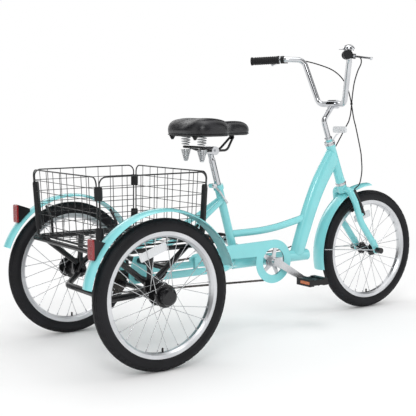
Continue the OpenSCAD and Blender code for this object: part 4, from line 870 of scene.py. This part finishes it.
class TRI_OT_saddle(bpy.types.Operator):
    """Make the padded saddle, its piping, base plate and springs"""

    bl_idname = "tri.saddle"
    bl_label = "Saddle"

    back, nose, base_z, height = 286, 598, 748, 67

    rim = ((0, 0), (0, 34), (1, 64), (5, 86), (12, 102), (24, 114), (42, 121), (64, 122.4),
           (92, 122), (116, 119), (136, 111), (150, 98), (160, 83), (170, 68), (184, 56),
           (204, 48), (232, 42), (262, 36), (284, 30), (299, 21), (308, 11), (312, 0))

    def outline(self):
        """Points round the saddle in plan, in millimetres from the rear axle."""
        half = [Vector((self.back + x, y, 0)) for x, y in self.rim]
        whole = half + [Vector((p.x, -p.y, 0)) for p in half[-2:0:-1]]
        ring = smooth_path(whole + whole[:3], 12)
        ring = ring[12:12 * (len(whole) + 1)]
        total, out, steps = length_of(ring + ring[:1]), [], 132
        run, k = 0.0, 0
        for p, q in zip(ring, ring[1:] + ring[:1]):
            step = (q - p).length
            while k < steps and run + step >= total * k / steps:
                out.append(p.lerp(q, (total * k / steps - run) / max(step, 1e-9)))
                k += 1
            run += step
        return out

    def top(self, x, y):
        """Height of the cover over the base, before it is puffed."""
        t = (x - self.back) / (self.nose - self.back)
        rear = math.exp(-((t - 0.24) / 0.26) ** 2)
        dip = math.exp(-((t - 0.62) / 0.10) ** 2)
        spine = 1 - 0.02 * rear * math.exp(-(y / 24) ** 2)
        return (self.height * (0.85 + 0.15 * rear - 0.05 * dip)
                - 4 * max(t - 0.8, 0) / 0.2) * spine

    def cushion_mesh(self):
        layers = [(0.0, 9.0), (0.06, 3.5), (0.16, 0.6), (0.34, 0.0), (0.50, 0.8),
                  (0.66, 4.0), (0.80, 10.0), (0.90, 17.0), (0.965, 27.0), (1.0, 44.0),
                  (1.0, 62.0), (1.0, 80.0), (1.0, 100.0), (1.0, 119.0)]
        rings = []
        for share, inset in layers:
            ring = []
            for q in self.shrink(inset):
                z = 3 + share * (self.top(q.x, q.y) - 5)
                ring.append(row(q.x, q.y, self.base_z + z))
            rings.append(ring)
        return loft(rings)

    def execute(self, context):
        verts, faces = self.cushion_mesh()
        mesh = bpy.data.meshes.new("saddle_cushion")
        mesh.from_pydata([tuple(v) for v in verts], [], faces)
        pad = bpy.data.objects.new("saddle_cushion", mesh)
        context.scene.collection.objects.link(pad)
        tidy(mesh)
        self.remesh(pad)
        self.puff(pad)
        self.settle(pad)
        adopt(pad, "saddle", "saddle_cover", ["saddle_pad"], fresh=False)
        self.piping()
        self.base_plate()
        self.springs()
        return {"FINISHED"}

    def bake(self, obj):
        context = bpy.context
        context.view_layer.update()
        done = bpy.data.meshes.new_from_object(
            obj.evaluated_get(context.evaluated_depsgraph_get()))
        obj.modifiers.clear()
        obj.data = done

    def remesh(self, obj):
        blocks = obj.modifiers.new("Even", "REMESH")
        blocks.mode = "VOXEL"
        blocks.voxel_size = 0.0045
        soft = obj.modifiers.new("Ease", "SMOOTH")
        soft.factor, soft.iterations = 0.5, 12
        self.bake(obj)

    def puff(self, obj):
        """Blows the cover up a little, so that it crowns between its edges."""
        start = np.array([v.co for v in obj.data.vertices])
        low = (self.base_z + 9) * MM
        pins = obj.vertex_groups.new(name="edge")
        pins.add([v.index for v in obj.data.vertices if v.co.z < low], 1.0, "REPLACE")
        cloth = obj.modifiers.new("Cloth", "CLOTH")
        cloth.settings.use_pressure = True
        cloth.settings.uniform_pressure_force = 4.0
        cloth.settings.vertex_group_mass = "edge"
        cloth.settings.effector_weights.gravity = 0.0
        cloth.settings.quality = 4
        scene = bpy.context.scene
        for f in range(1, 15):
            scene.frame_set(f)
        self.bake(obj)
        scene.frame_set(1)
        now = np.array([v.co for v in obj.data.vertices])
        move = now - start
        far = np.linalg.norm(move, axis=1)
        cap = 0.0022
        move *= np.minimum(1, cap / np.maximum(far, 1e-9))[:, None]
        obj.data.vertices.foreach_set("co", (start + move).ravel().astype(np.float32))
        obj.data.update()
        soft = obj.modifiers.new("Ease", "SMOOTH")
        soft.factor, soft.iterations = 0.5, 12
        self.bake(obj)

    def settle(self, obj):
        """Keeps the pad within its space, and presses in the seam between seat and nose."""
        low = np.array([self.back - MID_X, -122.5, self.base_z]) * MM
        high = np.array([self.nose - MID_X, 122.5, self.base_z + self.height]) * MM
        co = np.array([v.co for v in obj.data.vertices])
        for axis in range(3):
            size = co[:, axis].max() - co[:, axis].min()
            room = high[axis] - low[axis] - (0.0005 if axis < 2 else 0.001)
            if size > room:
                mid = (co[:, axis].max() + co[:, axis].min()) / 2
                co[:, axis] = mid + (co[:, axis] - mid) * room / size
        co[:, 2] += low[2] + 0.0005 - co[:, 2].min()
        seam = (470 - MID_X) * MM + np.abs(co[:, 1]) * -0.35
        gap = np.abs(co[:, 0] - seam)
        upper = np.clip((co[:, 2] - low[2] - 0.008) / 0.01, 0, 1)
        push = 0.0022 * np.exp(-(gap / 0.0028) ** 2) * upper
        mid = np.array([(470 - MID_X) * MM, 0, low[2] + 0.02])
        aim = mid - co
        aim /= np.linalg.norm(aim, axis=1)[:, None]
        co += aim * push[:, None]
        obj.data.vertices.foreach_set("co", co.ravel().astype(np.float32))
        obj.data.update()
        finer = obj.modifiers.new("Finer", "SUBSURF")
        finer.levels = finer.render_levels = 1
        self.bake(obj)

    def piping(self):
        edge = [row(p.x, p.y, self.base_z + 4.5) for p in self.shrink(3.0)]
        rings = rings_along(edge + edge[:2], sizes().piping_size, 10, start=(0, 0, 1))[1:-1]
        verts, faces = loft(rings, closed=True)
        piece("saddle_piping", verts, faces, "saddle", "saddle_cover")

    def shrink(self, inset):
        """The outline, drawn in towards the saddle's spine."""
        out = []
        for p in self.outline():
            mid = Vector((min(max(p.x, self.back + 60), self.nose - 34), 0, 0))
            off = p - mid
            out.append(mid + off * max(1 - inset / max(off.length, 1), 0.05))
        return out

    def base_plate(self):
        """The moulded pan under the pad, with a turned-down rim and the pivot's lug."""
        levels = [(7, 4), (6, 0.4), (9, -1.6), (14, -1.8), (15, 1.0)]
        rings = [[row(p.x, p.y, self.base_z + z) for p in self.shrink(inset)]
                 for inset, z in levels]
        verts, faces = loft(rings)
        piece("saddle_pan", verts, faces, "saddle", "black_plastic")
        lug = [(-8, -8), (8, -8), (10, 12), (-10, 12)]
        v = [row(519 + x, y, 739 + z) for y in (-3.5, 3.5) for x, z in lug]
        f = [(0, 1, 2, 3), (4, 7, 6, 5), (0, 4, 5, 1), (1, 5, 6, 2), (2, 6, 7, 3), (3, 7, 4, 0)]
        piece("saddle_pivot_lug", v, f, "saddle", "black_plastic", smooth=False)
        for side in (-1, 1):
            v = [row(303 + x, side * (74 + y), self.base_z + z) for y in (0, 2.5)
                 for x, z in ((-14, 1), (14, 1), (3, -14), (-5, -14))]
            piece(f"saddle_corner_tab_{'r' if side < 0 else 'l'}", v, f, "saddle",
                  "black_plastic", smooth=False)

    def springs(self):
        verts, faces = [], []
        for side in (-1, 1):
            for r0, r1, h, turns, z in ((14, 17, 31.5, 3.5, 713.6),
                                        (6, 18, 44, sizes().spring_turns, 654)):
                steps = int(turns * 22)
                path = []
                for k in range(steps + 1):
                    t, a = k / steps, 2 * math.pi * turns * k / steps
                    r = r0 + (r1 - r0) * t
                    path.append(row(347 + r * math.cos(a), side * 53 + r * math.sin(a),
                                    z + h * t))
                join(verts, faces, *loft(rings_along(path, 0.002, 10, start=(0, 0, 1))))
        springs = piece("saddle_coil_springs", verts, faces, "post", "bright_steel",
                        ["saddle_springs"])
        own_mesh(springs)


# ---------- chain ----------


class TRI_OT_chain(bpy.types.Operator):
    """Make the roller chain, link by link"""

    bl_idname = "tri.chain"
    bl_label = "Chain"

    def plates(self, name, y, height):
        """Two waisted side plates and a roller, lying along X and centred on the link."""
        half = sizes().chain_pitch / 2
        outline = []
        for a in round_turn(20):
            x = half * (1 if math.cos(a) > 0 else -1)
            waist = 0.80 if abs(math.cos(a)) < 0.35 else 1.0
            outline.append((x + 0.0036 * math.cos(a), height * waist * math.sin(a)))
        verts, faces = [], []
        for side in (-1, 1):
            join(verts, faces, *loft([[(x, side * y + thick, z) for x, z in outline]
                                      for thick in (-0.0005, 0.0005)]))
        for px in (-half, half):
            join(verts, faces, *loft([[(px + 0.0022 * math.cos(a), yy, 0.0022 * math.sin(a))
                                       for a in round_turn(10)]
                                      for yy in (-y - 0.0006, y + 0.0006)]))
        mesh = bpy.data.meshes.new(name)
        mesh.from_pydata(verts, [], faces)
        tidy(mesh)
        obj = bpy.data.objects.new(name, mesh)
        bpy.context.scene.collection.objects.link(obj)
        return obj

    def execute(self, context):
        low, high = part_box("chain")
        y = (low[1] + high[1]) / 2
        path = self.path(y)
        total = length_of(path + path[:1])
        links = 2 * round(total / sizes().chain_pitch / 2)
        width = (high[1] - low[1]) / 2
        inner = self.plates("inner_link", width * 0.52, 0.0040)
        outer = self.plates("outer_link", width * 0.80, 0.0041)
        grow("roller_chain", seed_lines("chain_path", [path]), chain_tree(),
             {"Links": links, "Inner Link": inner, "Outer Link": outer},
             "frame", "dark_steel", ["chain"], smooth=False)
        for obj in (inner, outer):
            bpy.data.objects.remove(obj)
        return {"FINISHED"}

    def path(self, y):
        """The chain's centre line: round the sprocket and the chainring and straight between."""
        small, big = np.array(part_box("rear_sprocket")), np.array(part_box("chainring"))
        loop = []
        cs, cb = (small[0] + small[1]) / 2, (big[0] + big[1]) / 2
        low, high = np.array(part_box("chain"))
        half = 0.0045
        rs = cs[0] - low[0] - half
        rb = high[0] - cb[0] - half
        gap = np.array([cb[0] - cs[0], cb[2] - cs[2]])
        far, tilt = np.linalg.norm(gap), math.atan2(gap[1], gap[0])
        lean = math.asin((rb - rs) / far)
        for centre, r, a0, a1 in ((cs, rs, math.pi / 2 + lean, 3 * math.pi / 2 - lean),
                                  (cb, rb, -math.pi / 2 - lean, math.pi / 2 + lean)):
            n = max(int(abs(a1 - a0) * r / 0.003), 8)
            for k in range(n + 1):
                a = tilt + a0 + (a1 - a0) * k / n
                loop.append(Vector((centre[0] + r * math.cos(a), y,
                                    centre[2] + r * math.sin(a))))
        return loop


# ---------- cables ----------


class TRI_OT_cables(bpy.types.Operator):
    """Make the brake cables as smooth sheathed wires"""

    bl_idname = "tri.cables"
    bl_label = "Brake cables"

    radius = 0.00245
    front = ((972.4, 183.4, 1043.7), (1012, 152, 1041), (1069, 120, 1024), (1118, 98, 1003),
             (1143, 72, 972), (1144, 40, 934), (1138, 15, 893), (1135.5, 3, 863),
             (1146, 0, 804), (1160, 0, 763), (1187, 0, 670), (1191, -2, 637),
             (1189, -8, 586), (1170, -20, 545), (1146, -34, 527), (1120.9, -36, 512.1))
    rear_top = ((972.4, -183.4, 1043.7), (1020, -165, 1041), (1052, -138, 1022),
                (1074, -96, 992), (1093, -58, 950), (1109, -32, 907), (1130.5, -3.4, 863),
                (1132, 4, 820), (1128, 10, 790))
    rear_loop = ((1128, 10, 790), (1118, 24, 758), (1104, 35, 722), (1082, 41, 684),
                 (1052, 40, 646), (1020, 33, 606))
    rear_low = ((1020, 33, 606), (992, 29, 560), (956, 27, 490), (920, 27, 410),
                (893, 27, 345), (866, 28, 304), (816, 26, 287), (740, 14, 284),
                (640, 14, 284), (590, 18, 284), (533, 22, 284), (470, 36, 284),
                (380, 50, 284), (240, 56, 284), (110, 58, 287), (62, 52, 293),
                (31, 43.8, 300))

    def sheath(self, name, points, body, replaces):
        path = smooth_path(rows(points), 8)
        verts, faces = loft(rings_along(path, self.radius, 12))
        return piece(name, verts, faces, body, "black_rubber", replaces), path

    def execute(self, context):
        self.sheath("front_cable_sheath", self.front, "steering", ["front_brake_cable"])
        loop, path = self.sheath("rear_cable_steering_loop", self.rear_loop, None,
                                 ["rear_brake_cable_loop"])
        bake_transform(loop)
        self.sheath("rear_cable_sheath_top", self.rear_top, "steering", [])
        self.sheath("rear_cable_sheath", self.rear_low, "frame", ["rear_brake_cable"])
        self.band()
        return {"FINISHED"}

    def band(self):
        """The band that joins the two cables in front of the stem."""
        path = [row(1133, 0, 863 + h) for h in (-5, -3, 0, 3, 5)]
        verts, faces = loft(rings_along(path, lambda t: 0.0052 - 0.0012 * abs(2 * t - 1), 16))
        piece("cable_joining_band", verts, faces, "steering", "black_plastic")


# ---------- lamps ----------


class TRI_OT_lamps(bpy.types.Operator):
    """Make the ribbed tail lenses and the pedals' reflectors"""

    bl_idname = "tri.lamps"
    bl_label = "Lamps and reflectors"

    def execute(self, context):
        for side in (-1, 1):
            verts, faces = self.lens(side)
            name = "tail_lens_" + ("right" if side < 0 else "left")
            piece(name, verts, faces, "frame", "red_lens",
                  ["tail_lenses"], smooth=False)
            self.pedal_plates(side)
        return {"FINISHED"}

    def lens(self, side):
        """A rounded block whose rear face carries rows of small pyramids."""
        co = np.array([v.co for v in NODES["tail_lenses"].data.vertices])
        co = co[co[:, 1] * side > 0]
        (x0, ya, z0), (x1, yb, z1) = co.min(axis=0), co.max(axis=0)
        y_mid, half = (ya + yb) / 2, (yb - ya) / 2
        tall, wide = 22, 10
        rings = []
        for depth, inset in ((x1, 0.0), (x0 + 0.003, 0.0), (x0 + 0.0012, 0.0008)):
            rings.append([Vector((depth, y_mid + (half - inset) * u,
                                  (z0 + z1) / 2 + ((z1 - z0) / 2 - inset) * v))
                          for u, v in squared_turn(64, 7)])
        verts, faces = loft(rings)
        dy, dz = (2 * half - 0.005) / wide, (z1 - z0 - 0.005) / tall
        for i in range(wide):
            for k in range(tall):
                y = y_mid - half + 0.0025 + i * dy
                z = z0 + 0.0025 + k * dz
                base, foot = len(verts), x0 + 0.0013
                verts += [Vector((foot, y, z)), Vector((foot, y + dy, z)),
                          Vector((foot, y + dy, z + dz)), Vector((foot, y, z + dz)),
                          Vector((x0 + 0.0002, y + dy / 2, z + dz / 2))]
                faces += [(base, base + 1, base + 4), (base + 1, base + 2, base + 4),
                          (base + 2, base + 3, base + 4), (base + 3, base, base + 4),
                          (base + 3, base + 2, base + 1, base)]
        return verts, faces

    plate_half = (27, 6.2)  # half width and half height of an amber plate

    def pedal_plates(self, side):
        """The amber plates let into a pedal's front and rear edges."""
        name = ("right" if side < 0 else "left") + "_pedal"
        low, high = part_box(name)
        mid_x, mid_z = (low[0] + high[0]) / 2, (low[2] + high[2]) / 2
        half = (high[0] - low[0]) / 2
        outer = low[1] if side < 0 else high[1]
        y = outer - side * 0.031
        verts, faces = [], []
        for edge in (-1, 1):
            rings = []
            for depth, inset in ((4.0, 0), (1.2, 0), (0.7, 0.6)):
                rings.append([Vector((mid_x + edge * (half - depth * MM),
                                      y + (self.plate_half[0] - inset) * MM * u,
                                      mid_z + (self.plate_half[1] - inset) * MM * v))
                              for u, v in squared_turn(40, 9)])
            join(verts, faces, *loft(rings))
        piece(name + "_reflectors", verts, faces, name, "white_reflector",
              smooth=False, coat_name="amber_reflector")


# ---------- basket sleeves ----------


class TRI_OT_sleeves(bpy.types.Operator):
    """Make the moulded sleeves that join the basket's panels at their corners"""

    bl_idname = "tri.sleeves"
    bl_label = "Basket sleeves"

    mid_x, length, width, height, foot, taper = 28, 425, 492, 236, 400, 10
    # corner, from, to, half width: heights above the basket's floor
    places = ((-1, 1, 20, 190, 14), (1, -1, 20, 190, 14), (-1, -1, 158, 202, 13),
              (-1, -1, 30, 70, 13), (1, 1, 156, 198, 13), (1, 1, 30, 68, 13))

    def corner(self, sx, sy, z):
        f = self.taper * (z / self.height - 1)
        return row(self.mid_x + sx * (self.length / 2 - 3.5 + f),
                   sy * (self.width / 2 - 3.5 + f), self.foot + z)

    def execute(self, context):
        tree = rib_tree()
        for n, (sx, sy, z0, z1, half) in enumerate(self.places):
            a, b = self.corner(sx, sy, z0), self.corner(sx, sy, z1)
            up = (b - a).normalized()
            side = Vector((sx, -sy, 0)).normalized()
            out = side.cross(up)
            out = out if out.dot(Vector((sx, sy, 0))) > 0 else -out
            count = max(int((z1 - z0) / 6), 4)
            verts, faces = loft([self.section(a.lerp(b, k / count), side, out, half,
                                              self.swell(k, count))
                                 for k in range(count + 1)])
            piece(f"basket_sleeve_{n + 1}", verts, faces, "frame", "black_plastic",
                  ["basket_clips"] if n == 0 else [])
            lines = [[a.lerp(b, t) + side * (w * MM) + out * (4.2 * MM)
                      for t in (0.06, 0.35, 0.65, 0.94)] for w in (-half * 0.45, 0, half * 0.45)]
            grow(f"basket_sleeve_ribs_{n + 1}", seed_lines("ribs", lines, closed=False), tree,
                 {"Rib Radius": 0.0011}, "frame", "black_plastic")
        return {"FINISHED"}

    def swell(self, k, count):
        """The ends are drawn in a little, as on a moulded part."""
        return 0.86 if k in (0, count) else 1.0

    def section(self, at, side, out, half, size):
        """A flat rounded bar, bowed outward over the two rods that it holds."""
        return [at + side * (half * size * u * MM) + out * ((9.0 * size * v - 4.4) * MM)
                for u, v in squared_turn(28, 4)]


# ---------- stage ----------


class TRI_OT_stage(bpy.types.Operator):
    """Set the camera, the soft lights and the pale floor"""

    bl_idname = "tri.stage"
    bl_label = "Stage"

    azimuth, elevation, roll = math.radians(-34.628), math.radians(6.146), math.radians(-0.315)
    distance = 4.4115
    focus = (949, 782, 374.8)

    def execute(self, context):
        self.camera(context)
        self.lights(context)
        self.floor(context)
        return {"FINISHED"}

    def camera(self, context):
        back = Vector((math.sin(self.azimuth) * math.cos(self.elevation),
                       -math.cos(self.azimuth) * math.cos(self.elevation),
                       math.sin(self.elevation)))
        lens = bpy.data.cameras.new("Camera")
        lens.lens, lens.sensor_width = 80.0, 36.0
        lens.clip_end = 200
        cam = bpy.data.objects.new("Camera", lens)
        context.scene.collection.objects.link(cam)
        turn = back.to_track_quat("Z", "Y").to_matrix().to_4x4()
        cam.matrix_world = (Matrix.Translation(row(*self.focus) + back * self.distance)
                            @ turn @ Matrix.Rotation(self.roll, 4, "Z"))
        context.scene.camera = cam

    def lamp(self, context, name, place, aim, size, power, colour=(1, 1, 1)):
        light = bpy.data.lights.new(name, "AREA")
        light.shape, light.size, light.size_y = "RECTANGLE", size[0], size[1]
        light.energy, light.color = power, colour
        obj = bpy.data.objects.new(name, light)
        context.scene.collection.objects.link(obj)
        obj.location = place
        obj.rotation_euler = (Vector(aim) - Vector(place)).to_track_quat("-Z", "Y").to_euler()

    def lights(self, context):
        self.lamp(context, "Key", (-2.6, -3.2, 3.2), (0, 0, 0.5), (1.6, 1.2), 44)
        self.lamp(context, "Top", (0.2, 0.0, 4.0), (0, 0, 0.4), (3.0, 1.6), 30)
        self.lamp(context, "Fill", (3.4, -2.4, 1.8), (0, 0, 0.5), (1.2, 1.8), 12)
        self.lamp(context, "Back", (1.0, 4.0, 2.6), (0, 0, 0.6), (2.6, 1.2), 16)
        world = bpy.data.worlds.new("Studio")
        world.use_nodes = True
        tree = world.node_tree
        tree.nodes.clear()
        s = Shade(tree)
        where = s.add("ShaderNodeTexCoord").outputs["Generated"]
        parts = s.add("ShaderNodeSeparateXYZ", {0: where})
        band = s.math("SINE", s.math("MULTIPLY", s.add("ShaderNodeMath", {
            0: parts.outputs["Y"], 1: parts.outputs["X"]}, operation="ARCTAN2").outputs[0], 5.0))
        walls = s.spread(band, 0.0, 0.45, 0.02, 1.0)
        high = s.spread(parts.outputs["Z"], 0.72, 0.9, 0.0, 1.0)
        low = s.spread(parts.outputs["Z"], -0.06, 0.03, 1.0, 0.0)
        tone = s.math("MAXIMUM", s.math("MAXIMUM", walls, high), low)
        rays = s.add("ShaderNodeLightPath")
        shiny, seen = rays.outputs["Is Glossy Ray"], rays.outputs["Is Camera Ray"]
        plain = s.math("ADD", 0.80, s.math("MULTIPLY", seen, 0.20))
        level = s.math("ADD", s.math("MULTIPLY", shiny, tone),
                       s.math("MULTIPLY", s.math("SUBTRACT", 1.0, shiny), plain))
        sky = s.add("ShaderNodeBackground", {"Color": (1, 1, 1, 1), "Strength": level})
        out = s.add("ShaderNodeOutputWorld")
        tree.links.new(sky.outputs[0], out.inputs[0])
        context.scene.world = world
        context.scene.view_settings.view_transform = "Standard"

    def floor(self, context):
        bm = bmesh.new()
        bmesh.ops.create_grid(bm, x_segments=2, y_segments=2, size=60)
        mesh = bpy.data.meshes.new("floor")
        bm.to_mesh(mesh)
        bm.free()
        floor = bpy.data.objects.new("floor", mesh)
        context.scene.collection.objects.link(floor)
        m = bpy.data.materials.new("Floor")
        m.use_nodes = True
        s = Shade(m.node_tree)
        far = s.add("ShaderNodeVectorMath", {0: s.add("ShaderNodeTexCoord").outputs["Object"]},
                    operation="LENGTH").outputs["Value"]
        glow = s.spread(far, 1.1, 3.2, 0.0, 1.0)
        skin = m.node_tree.nodes["Principled BSDF"]
        skin.inputs["Base Color"].default_value = (0.95, 0.95, 0.95, 1)
        skin.inputs["Roughness"].default_value = 1.0
        skin.inputs["Specular IOR Level"].default_value = 0.0
        light = s.add("ShaderNodeEmission", {"Color": (1, 1, 1, 1), "Strength": 1.0})
        mixed = s.add("ShaderNodeMixShader", {0: glow, 1: skin.outputs[0],
                                              2: light.outputs[0]})
        out = m.node_tree.nodes["Material Output"]
        m.node_tree.links.new(mixed.outputs[0], out.inputs["Surface"])
        mesh.materials.append(m)


class TRI_PT_panel(bpy.types.Panel):
    """Lists the tricycle's settings and its pieces"""

    bl_idname = "TRI_PT_panel"
    bl_label = "Adult Tricycle"
    bl_space_type = "VIEW_3D"
    bl_region_type = "UI"
    bl_category = "Tricycle"

    def draw(self, context):
        for group in (context.scene.tri_paints, context.scene.tri_sizes):
            box = self.layout.box()
            for name in group.__annotations__:
                box.prop(group, name)
        for operator in OPERATORS:
            self.layout.operator(operator.bl_idname)


SETTINGS = (TriPaintSettings, TriSizeSettings)
OPERATORS = (TRI_OT_stage, TRI_OT_finishes, TRI_OT_cables, TRI_OT_tyres, TRI_OT_frame_tubes,
             TRI_OT_saddle, TRI_OT_chain, TRI_OT_lamps, TRI_OT_sleeves)


def register():
    for c in (*SETTINGS, *OPERATORS, TRI_PT_panel):
        bpy.utils.register_class(c)
    bpy.types.Scene.tri_paints = PointerProperty(type=TriPaintSettings)
    bpy.types.Scene.tri_sizes = PointerProperty(type=TriSizeSettings)


def unregister():
    del bpy.types.Scene.tri_sizes
    del bpy.types.Scene.tri_paints
    for c in reversed((*SETTINGS, *OPERATORS, TRI_PT_panel)):
        bpy.utils.unregister_class(c)


def main():
    register()
    for operator in OPERATORS:
        group, name = operator.bl_idname.split(".")
        getattr(getattr(bpy.ops, group), name)()


if __name__ == "__main__":
    main()
